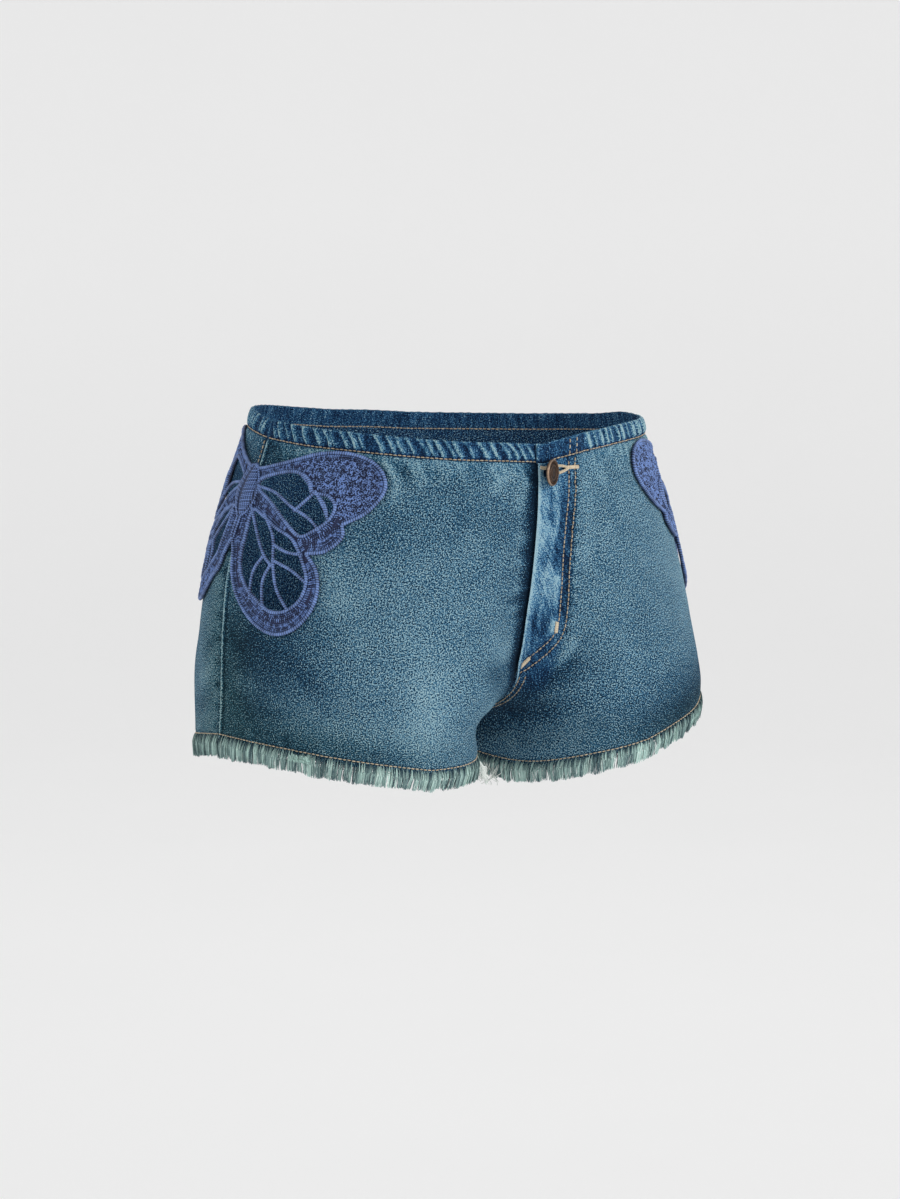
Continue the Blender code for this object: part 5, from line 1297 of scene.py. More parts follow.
class Cloth:
    """One panel: where its points lie, and its creases, troughs, wear and painted shade."""

    def __init__(self, name, leg, facing, place, gathers):
        self.name, self.facing, self.place = name, facing, place
        self.quarter = leg.front if facing == FRONT else leg.back
        self.is_flap = name == "front_left"
        self.creases = [(line(row.route), row.width * MM, row.height * MM)
                        for table, line in ((SIDE_CREASES, from_side), (CENTRE_CREASES, self.from_centre))
                        for row in table[name]]
        self.creases += [(line, PUCKER_WIDTH * MM, PUCKER_HEIGHT * height) for line, height in gathers]
        pinches = np.arange(SEAM_PUCKER_START, SEAM_LENGTH / MM - SEAM_PUCKER_STOP, SEAM_PUCKER_PITCH)
        self.creases += puckers(SEAM_PUCKER, pinches, lambda route: from_side(route, SEAM_PUCKER_STEP),
                                FRONT_SEAM_PUCKER if facing == FRONT else 1.0)
        self.troughs = [np.array([(0.0, HEM_STITCH_DOWN), (0.3, HEM_STITCH_DOWN)])]
        if self.is_flap:
            self.troughs += [self.from_centre(route) for route in (J_INNER, J_OUTER)]
            self.creases += puckers(FLY_PUCKER, FLY_PUCKER_DOWNS, self.from_centre)

    def from_centre(self, route):
        """A route measured from the centre seam, as places of the plan."""
        return self.quarter.flipped(from_side(route))

    def relief(self, plan):
        """The cloth's height over its skin."""
        height = np.zeros(len(plan))
        for line, width, rise in self.creases:
            low, high = line.min(axis=0) - 3 * width, line.max(axis=0) + 3 * width
            near = ((plan > low) & (plan < high)).all(axis=1)
            height[near] += ridge(plan[near], line, width, rise)
        height -= STITCH_TROUGH * self.stitched(plan)
        if self.facing == FRONT:
            height += SEAM_FOLD_HEIGHT * bell(plan[:, 0] - SEAM_FOLD_PLACE, SEAM_FOLD_WIDTH)
        if self.is_flap:
            edge = self.quarter.flipped(plan)[:, 0] + lap(plan[:, 1])
            height += FLAP_FOLD_HEIGHT * bell(edge, FLAP_FOLD_WIDTH) * flap_fade(plan[:, 1])
        return height

    def stitched(self, plan):
        """How near each place is to the rows of stitches that press the cloth down."""
        return sum(bell(nearest(plan, line)[0], STITCH_TROUGH_WIDTH) for line in self.troughs)

    def shade(self, plan, height, from_edge):
        """How much lighter or darker than its material the cloth is, by wash, wear and painted shade."""
        across, down = plan.T
        centred = self.quarter.flipped(plan)
        value = washes(WASH_AND_SHADE[self.name], plan) + washes(CENTRE_WASH_AND_SHADE[self.name], centred)
        value += CREASE_WEAR_AND_SHADE * height / MM
        value += EDGE_WEAR * smooth((down - BAND_HEIGHT) / WEAR_START) * bell(from_edge, EDGE_WEAR_WIDTH)
        value += STITCH_SHADE * self.stitched(plan)
        if self.facing == BACK:
            value += SEAM_SHADE * bell(across, SEAM_SHADE_WIDTH)
        else:
            value += FOLD_SHADE * bell(across - FOLD_SHADE_PLACE, FOLD_SHADE_WIDTH)
            value += SEAM_LINE_SHADE * bell(across - SEAM_LINE_PLACE, SEAM_LINE_WIDTH)
        if self.name == "front_right":
            beyond = np.maximum(centred[:, 0] - lap(down), 0.0)
            value += FLAP_LEE * flap_fade(down) * bell(beyond, FLAP_LEE_WIDTH)
        return value - HEM_SHADE * smooth(np.maximum(down - HEM_STITCH_DOWN, 0.0) / MM)

    def is_fine(self, plan):
        """Where the cloth has small folds and needs more points."""
        across, down = plan.T
        from_rise = self.quarter.flipped(plan)[:, 0]
        return (down < FINE_BELOW_WAIST) | (from_rise < FINE_BY_CENTRE) | (across < FINE_BY_SIDE)

    def on_flap(self, plan):
        """How far each place belongs to the flap, from 0 to 1."""
        if not self.is_flap:
            return np.zeros(len(plan))
        from_rise = self.quarter.flipped(plan)[:, 0]
        return (1.0 - smooth((from_rise - FLAP_WIDTH + FLAP_SLOPE) / FLAP_SLOPE)) * flap_fade(plan[:, 1])

    def green(self, plan):
        """How far the wash leans to green."""
        value = GREEN + washes(GREENS[self.name], plan) + FLAP_BLUE * self.on_flap(plan)
        return np.clip(value, 0.0, 1.0)

    def wear(self, plan):
        """How strongly wear streaks the cloth."""
        below_casing = BELOW_CASING_WEAR * bell(plan[:, 1] - BAND_HEIGHT, BELOW_CASING)
        return ROUGH_WEAR + (FLAP_ROUGH_WEAR - ROUGH_WEAR) * np.maximum(self.on_flap(plan), below_casing)

    def surface(self, across, down, lift=0.0):
        """Points on the creased cloth."""
        across, down, lift = spread(across, down, lift)
        return self.place(across, down, self.relief(pairs(across, down)) + lift)


def washes(table, plan):
    """The sum of a table's soft patches."""
    value = np.zeros(len(plan))
    for row in table:
        across = (plan[:, 0] / MM - row.across) / row.wide
        down = (plan[:, 1] / MM - row.down) / row.tall
        value += row.shade * np.exp(-across**2 - down**2)
    return value


def bay_outline(leg, facing):
    """The bay that a panel leaves for the lace, from its top on the side seam to its bottom."""
    bay = rounded(DENIM_BAY, EDGE_STEP / MM) * MM
    sign = 1.0 if facing == FRONT else -1.0
    across, down = leg.wing(sign * bay[:, 0], bay[:, 1])
    return list(zip(sign * across, down))


def steps(start, end, step):
    """Evenly spaced values from start to end, about a step apart."""
    return np.linspace(start, end, max(1, round(abs(end - start) / step)) + 1)


def panel_outline(quarter, bay, past_centre):
    """A panel's outline. past_centre gives how far it goes past the rise."""
    top, hem = BAND_HEIGHT - SEAM_LAP, SEAM_LENGTH
    upper = [(0.0, down) for down in steps(top, BAY_TOP, EDGE_STEP)]
    lower = [(0.0, down) for down in steps(BAY_BOTTOM, hem, EDGE_STEP)]
    along_hem = [(across, hem) for across in steps(0.0, float(quarter.length(hem)), EDGE_STEP)[1:-1]]
    down = steps(hem, top, EDGE_STEP)
    rise = list(zip(quarter.length(down) + past_centre(down), down))
    along_top = [(across, top) for across in steps(rise[-1][0], 0.0, EDGE_STEP)[1:-1]]
    return np.array(upper + bay + lower + along_hem + rise + along_top)


def keyhole(quarter):
    """The buttonhole: an eye round the shank, and a slit away from the fly's edge."""
    middle = np.array([BUTTON_ACROSS, BUTTON_DOWN])
    slit_end = np.array(SLIT_END)
    heading = math.atan2(*(slit_end - middle)[::-1])
    half = math.asin(0.5 * SLIT_WIDTH / EYE_RADIUS)
    turns = np.linspace(heading + half, heading + 2 * math.pi - half, EYE_POINTS)
    eye = middle + np.stack([np.cos(turns), np.sin(turns)], 1) * EYE_RADIUS
    square = np.array([-math.sin(heading), math.cos(heading)]) * 0.5 * SLIT_WIDTH
    return quarter.flipped(np.concatenate([eye, [slit_end - square, slit_end + square]]))


def offset_rows(outline, rows):
    """Points along the inside of an outline, at the given distances from it."""
    heading = unit(np.roll(outline, -1, axis=0) - np.roll(outline, 1, axis=0))
    square = np.stack([-heading[:, 1], heading[:, 0]], 1)
    found = []
    for row in rows:
        for points in (outline + square * row, outline - square * row):
            points = points[inside(points, outline)]
            found.append(points[distance(points, outline) > 0.9 * row])
    return np.concatenate(found)


def grid_points(outline, step, clear):
    """A staggered grid inside an outline, clear of its edge."""
    low, high = outline.min(axis=0), outline.max(axis=0)
    points = []
    for row, down in enumerate(np.arange(low[1] + 0.5 * step, high[1], GRID_ROW * step)):
        start = low[0] + step * (0.25 if row % 2 else 0.75)
        points += [(across, down) for across in np.arange(start, high[0], step)]
    points = np.array(points)
    points = points[inside(points, outline)]
    return points[distance(points, outline) > clear]


def wall(plan, faces, place, outer, inner):
    """A closed wall over the faces of a flat plan, and each point's place in the plan."""
    used = np.unique(faces)
    number = {old: new for new, old in enumerate(used)}
    plan = plan[used]
    faces = [tuple(number[corner] for corner in face) for face in faces]
    count = len(plan)
    points = np.concatenate([place(*plan.T, outer(plan)), place(*plan.T, inner(plan))])
    shell = faces + [tuple(corner + count for corner in reversed(face)) for face in faces]
    shell += [(start, start + count, end + count, end) for start, end in boundary(faces)]
    return points, shell, np.concatenate([plan, plan])


def mesh_from(name, points, faces):
    """A mesh whose faces all point outward."""
    mesh = bpy.data.meshes.new(name)
    mesh.from_pydata(points, [], faces)
    body = bmesh.new()
    body.from_mesh(mesh)
    bmesh.ops.recalc_face_normals(body, faces=body.faces)
    body.to_mesh(mesh)
    body.free()
    return mesh


def cloth_area(plan, faces):
    first, second, third = plan[faces[:, 0]], plan[faces[:, 1]], plan[faces[:, 2]]
    across, down = (second - first).T, (third - first).T
    return 0.5 * float(np.abs(across[0] * down[1] - across[1] * down[0]).sum())


def make_panel(cloth, outline, cuts, material):
    """A panel of cloth with its creases, its cut size and its area."""
    coarse = grid_points(outline, FILL_STEP, EDGE_ROWS[-1] + 0.4 * FILL_STEP)
    fine = grid_points(outline, FINE_STEP, EDGE_ROWS[-1] + 0.5 * FINE_STEP)
    fill = np.concatenate([coarse[~cloth.is_fine(coarse)], fine[cloth.is_fine(fine)],
                           offset_rows(outline, EDGE_ROWS)])
    for cut in cuts:
        fill = fill[(distance(fill, cut) > EDGE_ROWS[0]) & ~inside(fill, cut)]
    plan, faces = plan_mesh(outline, cuts, fill)
    edges = [outline, *cuts]

    def edge_fall(plan):
        return EDGE_ROUND * (1.0 - smooth(from_edges(plan, edges) / EDGE_ROWS[-1]))

    points, shell, places = wall(plan, faces, cloth.place,
                                 lambda plan: cloth.relief(plan) - edge_fall(plan),
                                 lambda plan: cloth.relief(plan) - CLOTH + edge_fall(plan))
    outer = np.arange(len(places)) < len(places) // 2
    shades = cloth.shade(places, cloth.relief(places), from_edges(places, edges))
    values = {"shade": np.where(outer, shades, INNER_SHADE),
              "green": np.where(outer, cloth.green(places), 0.0),
              "wear": np.where(outer, cloth.wear(places), ROUGH_WEAR)}
    piece = cloth_piece(cloth.name + "_cloth", points, shell, places, values, material, cloth.name)
    return piece, tuple(float(side) for side in np.ptp(outline, axis=0)), cloth_area(plan, faces)


def from_edges(plan, edges):
    """The distance to the nearest of several outlines."""
    return np.min([distance(plan, edge) for edge in edges], axis=0)


def straight(down):
    return np.zeros(len(down))


def apart(quarter, leg, facing):
    """A quarter's place function, with points kept clear of the neighbours at its rise."""
    def place(across, down, lift):
        across, down, lift = spread(across, down, lift)
        return keep_apart(quarter.place(across, down, lift), quarter.length(down) - across, leg, facing)
    return place


def make_shield(left, material):
    """The shield behind the flap, from the waist edge to the fly's end, with one round corner."""
    quarter = left.front
    turns = np.radians(np.linspace(0.0, 90.0, 9))
    bottom = SHIELD_LENGTH - SHIELD_CORNER
    places = [(SHIELD_WIDTH, down) for down in steps(SHIELD_TOP, bottom - EDGE_STEP, EDGE_STEP)]
    places += [(SHIELD_WIDTH - SHIELD_CORNER * (1 - math.cos(turn)),
                bottom + SHIELD_CORNER * math.sin(turn)) for turn in turns]
    along_bottom = steps(SHIELD_WIDTH, GAP / 2, EDGE_STEP)[1:-1]
    places += [(across, SHIELD_LENGTH) for across in along_bottom]
    places += [(GAP / 2, down) for down in steps(SHIELD_LENGTH, SHIELD_TOP, EDGE_STEP)]
    places += [(across, SHIELD_TOP) for across in steps(GAP / 2, SHIELD_WIDTH, EDGE_STEP)[1:-1]]
    outline = quarter.flipped(np.array(places))
    plan, faces = plan_mesh(outline, (), grid_points(outline, FILL_STEP, 0.5 * FILL_STEP))

    def outer(plan):
        ripple = np.sin(plan[:, 1] / SHIELD_RIPPLE_PITCH) * np.sin(plan[:, 0] / SHIELD_RIPPLE_PITCH)
        return -SHIELD_SINK - SHIELD_RIPPLE * (1.0 + ripple)

    points, shell, places = wall(plan, faces, apart(quarter, LEFT, FRONT), outer,
                                 lambda plan: outer(plan) - SHIELD_THICKNESS + 2 * SHIELD_RIPPLE)
    values = {"shade": INNER_SHADE, "green": 0.0, "wear": ROUGH_WEAR}
    piece = cloth_piece("fly_shield", points, shell, places, values, material,
                        "fly_underlap")
    cloth_area(plan, faces)


# ---------------------------------------------------------------- waist casing

Gather = namedtuple("Gather", "station width height bow")


def gathers_between(start, end, turn):
    """The gathers of one casing. turn says where in the tables of sizes it begins."""
    def size(table):
        return table[index % len(table)] * MM

    found = []
    index = turn
    station = start + 0.5 * size(GATHER_PITCHES)
    while station < end - GATHER_STOP:
        found.append(Gather(station, size(GATHER_WIDTHS), size(GATHER_HEIGHTS), size(GATHER_BOWS)))
        index += 1
        station += size(GATHER_PITCHES)
    return found


class Casing:
    """A length of the gathered casing, from start to end along the waist edge."""

    def __init__(self, name, place, across, start, end, flat_end, slant, steep, turn):
        """across gives the plan's place of a station lower down, and place a point of the casing."""
        self.name, self.place, self.across, self.start, self.end = name, place, across, start, end
        self.first, self.last = start + BAND_FLAT / 2, end - flat_end
        self.slant, self.steep = slant, steep
        self.gathers = gathers_between(self.first, self.last, turn)

    def slanted(self, gather, down):
        """Where a gather's middle is at a place down, without its bow."""
        return gather.station + self.slant * (down - 0.5 * BAND_HEIGHT)

    def relief(self, station, down):
        """The casing's height over the skin, and how near each place is to a gather's crest, with painted
        light on its far side.
        """
        share = down / BAND_HEIGHT
        stitched = bell(down - BAND_STITCH_DOWN, STITCH_TROUGH_WIDTH)
        room = smooth(np.minimum(station - self.first, self.last - station) / BAND_FLAT + GATHER_AT_ENDS)
        room = room * (station > self.first - BAND_FLAT) * (station < self.last + BAND_FLAT)
        swell = np.sin(math.pi * np.clip(share, 0.0, 1.0)) ** GATHER_GROWTH
        swell = GATHER_AT_EDGES + (1.0 - GATHER_AT_EDGES) * swell
        swell = swell * (1.0 - STITCHED_DOWN * stitched)
        height, crest = np.zeros(len(station)), np.zeros(len(station))
        for gather in self.gathers:
            middle = self.slanted(gather, down) + gather.bow * np.sin(math.pi * share)
            away = (station - middle) * self.steep
            near = np.abs(away) < GATHER_REACH * gather.width
            form = bell(away, np.where(away > 0.0, GATHER_LEE * gather.width, gather.width)) * near
            height = np.maximum(height, form * gather.height)
            peak = bell(away, CREST_WIDTH * gather.width)
            crest = np.maximum(crest, np.maximum(peak, LEE_PAINTED_LIGHT * form) * gather.height)
        puff = BAND_PUFF * (1.0 - (2.0 * share - 1.0)**2) - STITCH_TROUGH * stitched
        puff = puff * (FLAT_PUFF + (1.0 - FLAT_PUFF) * room)
        return puff + height * swell * room, crest * room * swell / FULL_CREST

    def surface(self, station, down, lift=0.0):
        """Points on the casing's outer face."""
        station, down, lift = spread(station, down, lift)
        return self.place(station, down, self.relief(station, down)[0] + lift)

    def inner(self, station, down, lift=0.0):
        """Points on its inner face; a lift goes inward."""
        station, down, lift = spread(station, down, lift)
        return self.place(station, down, self.inner_lift(station, down) - lift)

    def inner_lift(self, station, down):
        return CASING_INNER_RELIEF * self.relief(station, down)[0] - CLOTH - CASING_LINING

    def outer_shade(self, stations, down, relief, crest):
        """How much lighter or darker than its material a row of the outer face is: worn crests and edges,
        painted light on the gathers' far sides, and painted shade in the valleys and along the stitches.
        """
        shade = CREST_WEAR_AND_LEE_LIGHT * crest - VALLEY_SHADE * (1.0 - np.clip(relief / VALLEY_DEPTH, 0.0, 1.0))
        shade += LEFT_CASING_SHADE if self.name == "band_front_left" else 0.0
        shade += TOP_EDGE_WEAR * bell(down, TOP_EDGE_WIDTH)
        shade += STITCH_SHADE * bell(down - BAND_STITCH_DOWN, STITCH_TROUGH_WIDTH)
        for end in (self.start, self.end):
            shade += EDGE_WEAR * bell(stations - end, EDGE_WEAR_WIDTH)
        return shade

    def build(self, material):
        height = BAND_HEIGHT - GAP / 2
        stations = np.linspace(self.start, self.end, round((self.end - self.start) / CASING_STEP) + 1)
        outer = height * np.linspace(0.0, 1.0, CASING_ROWS)
        inner = height * np.linspace(1.0, CASING_INNER_TOP, CASING_INNER_ROWS)
        rings = [(down, False) for down in outer] + [(down, True) for down in inner]
        points, shades, places = [], [], []
        for down, is_inner in rings:
            row = np.full(len(stations), down)
            relief, crest = self.relief(stations, row)
            turned = EDGE_ROUND * bell(min(down, height - down), EDGE_TURN)
            if is_inner:
                lift = self.inner_lift(stations, row) + turned
                shade = np.full(len(stations), INNER_CASING_SHADE)
            else:
                lift = relief - turned
                shade = self.outer_shade(stations, down, relief, crest)
            points.append(self.place(stations, row, lift))
            shades.append(shade)
            places.append(pairs(stations, down + (2 * height if is_inner else 0.0)))
        count, total = len(stations), len(rings)
        faces = []
        for ring in range(total):
            after = (ring + 1) % total
            faces += [(ring * count + index, ring * count + index + 1,
                       after * count + index + 1, after * count + index) for index in range(count - 1)]
        faces.append(tuple(ring * count for ring in range(total)))
        faces.append(tuple((ring + 1) * count - 1 for ring in reversed(range(total))))
        shades = np.concatenate(shades)
        green = np.clip(CASING_GREEN + CASING_GREEN_GAIN * shades, 0.0, CASING_GREEN_MOST)
        values = {"shade": shades, "green": green, "wear": CASING_ROUGH_WEAR}
        piece = cloth_piece(self.name + "_cloth", np.concatenate(points), faces, np.concatenate(places),
                            values, material, self.name, 70.0)
        return piece, (self.end - self.start) * GATHER_FULLNESS, height

    def ends_below(self):
        """Routes on the panel below, where the gathers run out, with the gathers' heights."""
        found = []
        for index, gather in enumerate(self.gathers):
            length = PUCKER_LENGTHS[index % len(PUCKER_LENGTHS)] * MM
            downs = BAND_HEIGHT + np.array(PUCKER_ROUTE) * length
            found.append((pairs(self.across(self.slanted(gather, downs), downs), downs), gather.height))
        return found


def make_casings(right, left):
    """The three casings, and for each panel the routes of the gathers that run out in it."""
    flap = FlapSide(right, left)
    flap_lap = float(lap(0.0)[0])
    right_end = float(right.front.length(0.0))
    left_end = float(left.front.length(0.0)) + flap_lap
    middle = {leg: float(leg.back.length(0.0)) for leg in (right, left)}
    on_right_front = apart(right.front, RIGHT, FRONT)

    def widened(quarter, along, down, end):
        """Stations of the waist edge, spread to the section's length lower down."""
        return along * (1.0 + (quarter.length(down) - quarter.length(0.0)) / end)

    def right_across(along, down):
        return widened(right.front, along, down, right_end)

    def left_across(along, down):
        return widened(left.front, along, down, left_end)

    def back_across(along, down):
        """Along runs from the right side seam (negative) over the centre back to the left one."""
        share = np.where(along < 0.0, -along / middle[right], along / middle[left])
        length = np.where(along < 0.0, right.back.length(down), left.back.length(down))
        return length * (1.0 - share)

    def place_right(along, down, lift):
        return on_right_front(right_across(along, down), down, lift)

    def place_left(along, down, lift):
        return flap.place(left_across(along, down), down, lift)

    def place_back(along, down, lift):
        along, down, lift = spread(along, down, lift)
        points = np.empty((len(along), 3))
        for leg, side in ((right, along < 0.0), (left, along >= 0.0)):
            points[side] = leg.back.place(back_across(along[side], down[side]), down[side], lift[side])
        return points

    flap_width = FLAP_WIDTH + FLAP_SLOPE + flap_lap
    right_slant, left_slant, back_slant = GATHER_SLANTS
    casings = {
        "right": Casing("band_front_right", place_right, right_across, 0.0, right_end,
                        BAND_FLAT / 2, right_slant, 1, 0),
        "left": Casing("band_front_left", place_left, left_across, 0.0, left_end,
                       flap_width, left_slant, -1, 5),
        "back": Casing("band_back", place_back, back_across, -middle[right], middle[left],
                       BAND_FLAT / 2, back_slant, -1, 9),
    }
    routes = list(zip(casings["back"].ends_below(), casings["back"].gathers))
    ends = {
        "front_right": casings["right"].ends_below(),
        "front_left": casings["left"].ends_below(),
        "back_right": [route for route, gather in routes if gather.station < 0.0],
        "back_left": [route for route, gather in routes if gather.station >= 0.0],
    }
    return casings, ends


# ---------------------------------------------------------------- sewing

def stitch_row(heap, surface, line, shade=STITCH_TONE):
    """Stitches along a line of places on a surface, each dipping into the cloth at its ends."""
    length = run_along(surface(*line.T))
    count = int(length[-1] / STITCH_PITCH)
    order = np.arange(count)
    starts = (order + 0.5) * length[-1] / count
    where = starts[:, None] + STITCH_SHARES * STITCH_LENGTH
    across = np.interp(where, length, line[:, 0])
    down = np.interp(where, length, line[:, 1]) + STITCH_WANDER * np.sin(order * 2.4)[:, None]
    lift = STITCH_LIFT * (1.0 - (2 * STITCH_SHARES)**2) * 1.5 - 0.5 * STITCH_LIFT
    paths = placed(surface, pairs(across, down), lift)
    up = unit(surface(across[:, 2], down[:, 2], lift[2] + MM) - paths[:, 2])
    tone = shade + STITCH_TONE_SWING * np.sin(order * 1.9) * np.sin(order * 0.37 + 1.0)
    heap.tubes(paths, STITCH_RADIUS * STITCH_TAPER, up, STITCH_SIDES, tone)


def satin_bar(heap, surface, start, end, width):
    """Close strokes across a short line: a bartack, or a buttonhole's edge."""
    way = float(np.linalg.norm(end - start))
    heading = (end - start) / way
    square = np.array([-heading[1], heading[0]])
    count = max(2, round(way / TACK_PITCH))
    order = np.arange(count)
    middles = start + (end - start) * (order + 0.5)[:, None] / count
    stroke = square * width + heading * 0.5 * TACK_PITCH
    spots = middles[:, None] + STITCH_SHARES[:, None] * stroke
    lift = TACK_THREAD * (TACK_LIFT - TACK_ROUND * STITCH_SHARES**2)
    paths = placed(surface, spots, lift)
    up = unit(surface(*spots[:, 2].T, lift[2] + MM) - paths[:, 2])
    tone = TACK_TONE + TACK_TONE_SWING * np.sin(order * 2.1)
    heap.tubes(paths, TACK_THREAD * TACK_TAPER, up, TACK_SIDES, tone)


def sew_waist(casings):
    """A row low on the casings' outer face and one on their inner face."""
    heap = Heap()
    for casing in casings.values():
        line = pairs(steps(casing.start + ROW_MARGIN, casing.end - ROW_MARGIN, ROW_STEP), BAND_STITCH_DOWN)
        under_button = casing.name == "band_front_left"
        shown = line[line[:, 0] < casing.end - WAIST_ROW_STOP] if under_button else line
        stitch_row(heap, casing.surface, shown)
        stitch_row(heap, casing.inner, line)
    return heap


def sew_seams(cloths):
    """The hems' rows, the short ones beside the side seams and the two at the crotch."""
    heap = Heap()
    for cloth in cloths.values():
        reach = float(cloth.quarter.length(HEM_STITCH_DOWN)) - ROW_MARGIN
        stitch_row(heap, cloth.surface, pairs(steps(ROW_MARGIN, reach, ROW_STEP), HEM_STITCH_DOWN),
                   HEM_STITCH_TONE)
        if cloth.facing == BACK:
            stitch_row(heap, cloth.surface, pairs(SIDE_ROW, steps(*SIDE_ROW_DOWNS, ROW_STEP)))
    front = cloths["front_left"]
    for from_seam in CROTCH_ROWS_FROM_SEAM:
        line = front.quarter.flipped(pairs(from_seam, steps(*CROTCH_ROW_DOWNS, ROW_STEP)))
        stitch_row(heap, front.surface, line, CROTCH_STITCH_TONE)
    return heap


def sew_fly(front, band):
    """The fly's two rows, which go on over the casing, its bartacks and its buttonhole."""
    heap = Heap()
    waist_length = float(front.quarter.length(0.0))
    for route in (J_INNER, J_OUTER):
        line = front.from_centre(route)
        stitch_row(heap, front.surface, line[line[:, 1] > BAND_HEIGHT + 0.5 * MM])
        down = steps(BAND_ROW_START, BAND_HEIGHT - ROW_MARGIN, MM)
        across = waist_length - np.interp(down, line[:, 1], front.quarter.flipped(line)[:, 0])
        stitch_row(heap, band.surface, pairs(across, down))
    for tack in TACKS:
        turn = math.radians(tack.heading)
        middle = np.array([tack.from_centre, tack.down]) * MM
        half = 0.5 * tack.length * MM * np.array([math.cos(turn), math.sin(turn)])
        ends = front.quarter.flipped(np.array([middle - half, middle + half]))
        satin_bar(heap, front.surface, *ends, TACK_WIDTH)
    for route in HOLE_CORDS:
        line = front.from_centre(route)
        for start, end in zip(line[:-1], line[1:]):
            satin_bar(heap, front.surface, start, end, HOLE_CORD_WIDTH)
    return heap


def make_sewing(cloths, casings, material):
    """All the tan thread: round the waist, the hems, the fly, the side seams and the crotch."""
    heaps = {"waist_stitches": sew_waist(casings), "seam_stitches": sew_seams(cloths),
             "fly_stitches": sew_fly(cloths["front_left"], casings["left"])}
    return {name: heap.build(name, material, "frayed_thread") for name, heap in heaps.items()}


# ---------------------------------------------------------------- hip lace

def mirrored(curve):
    """The back half's copy of a front half's closed curve."""
    return curve[::-1] * (-1, 1)


def lace_outlines(step):
    """The butterfly's outline and its four windows."""
    step = step / MM
    half = np.concatenate([rounded(arc, step)[:-1] for arc in WING_EDGE] + [[WING_EDGE[-1][-1]]]) * MM
    outline = np.concatenate([half, (half[1:-1] * (-1, 1))[::-1]])
    windows = [rounded(window, step, closed=True) * MM for window in (UPPER_WINDOW, LOWER_WINDOW)]
    return outline, windows + [mirrored(window) for window in windows]


def both_sides(routes):
    """Open routes of the front half, and their mirror images."""
    lines = [rounded(route, CORD_STEP / MM) * MM for route in routes]
    return lines + [line * (-1, 1) for line in lines]


def lace_ups(leg, across, down, lift):
    """The lace's outward direction at places of its plan."""
    return unit(leg.place_wing(across, down, lift + MM) - leg.place_wing(across, down, lift))


def waves(where, sizes):
    """The sum of a few waves, each with its height and its length."""
    return sum(height * np.sin(where / length) for height, length in sizes)


def lay_cord(heap, leg, line, radius, lift, closed=False):
    """A cord along a line of the butterfly's plan."""
    if closed:
        line = np.concatenate([line, line[:2]])
    length = run_along(line)
    where = steps(0.0, length[-1], CORD_STEP)
    across, down = (np.interp(where, length, column) for column in line.T)
    path = leg.place_wing(across, down, lift)
    radii = radius * (1.0 + waves(where, CORD_SWELLS))
    tone = CORD_TONE + waves(where, CORD_TONE_SWINGS)
    heap.tubes(path[None], radii, lace_ups(leg, across, down, lift)[None], CORD_SIDES, tone[None],
               CORD_TOP_LIGHT)


def strokes(heap, leg, middles, headings, shades):
    """Short straight stitches of thread on the lace."""
    lift = LACE_FILL + SATIN_LIFT
    spots = middles[:, None] + SATIN_SHARES[:, None] * headings[:, None] * SATIN_LENGTH
    paths = placed(leg.place_wing, spots, lift + SATIN_RADIUS * (1.0 - SATIN_ROUND * SATIN_SHARES**2))
    heap.tubes(paths, SATIN_RADIUS * SATIN_TAPER, lace_ups(leg, *middles.T, lift), THREAD_SIDES, shades,
               STROKE_TOP_LIGHT)


def satin_rows(outline, windows, rng):
    """Stitches in rows that follow the lace's edges: their middles and headings."""
    contours = [outline, *windows]
    middles, headings = [], []
    for contour in contours:
        closed = np.concatenate([contour, contour[:1]])
        length = run_along(closed)
        where = np.arange(0.0, length[-1], SATIN_PITCH)
        spots, ahead, behind = (np.stack([np.interp(where + shift, length, column)
                                          for column in closed.T], 1)
                                for shift in (0.0, MM, -MM))
        heading = unit(ahead - behind)
        square = np.stack([-heading[:, 1], heading[:, 0]], 1)
        others = [other for other in contours if other is not contour]
        for side in (-1, 1):
            for row in range(SATIN_ROWS):
                reach = CORD_RADIUS + (row + SATIN_OFFSET) * SATIN_ROW
                middle = spots + side * square * reach
                keep = uncut(middle, outline, windows)
                keep &= distance(middle, contour) > 0.93 * reach
                keep &= from_edges(middle, others) > max(reach, CORD_RADIUS + 0.3 * SATIN_ROW)
                turn = math.radians(SATIN_TILT) * (1 if row % 2 else -1)
                tilted = side * square * math.cos(turn) + heading * math.sin(turn)
                jitter = rng.uniform(-SATIN_JITTER, SATIN_JITTER, (len(middle), 2)) * MM
                middles.append((middle + jitter)[keep])
                headings.append(tilted[keep])
    return np.concatenate(middles), np.concatenate(headings)


def thread_shades(rng, count):
    """Uneven shades for the lace's stitches."""
    return rng.normal(THREAD_SHADE, THREAD_UNEVENNESS, count)


def curls(heap, leg, middles, rng):
    """Small open loops of thread, each turned its own way."""
    count = len(middles)
    turn = rng.uniform(0.0, 2 * math.pi, count)
    sweep = rng.uniform(*CURL_SWEEPS, count) * rng.choice((-1.0, 1.0), count)
    radius = CURL_RADIUS * rng.uniform(*CURL_SIZES, count)
    angle = turn[:, None] + sweep[:, None] * CURL_SHARES
    spots = middles[:, None] + radius[:, None, None] * np.stack([np.cos(angle), np.sin(angle)], -1)
    lifts = LACE_FILL + CURL_LIFT + CURL_RISE * (np.sin(math.pi * CURL_SHARES)
                                                 + rng.uniform(0.0, 1.0, (count, 1)))
    paths = placed(leg.place_wing, spots, lifts)
    shades = np.clip(thread_shades(rng, count), 0.0, 1.0)
    heap.tubes(paths, CURL_THREAD * CURL_TAPER, lace_ups(leg, *middles.T, LACE_FILL), THREAD_SIDES,
               shades, STROKE_TOP_LIGHT)


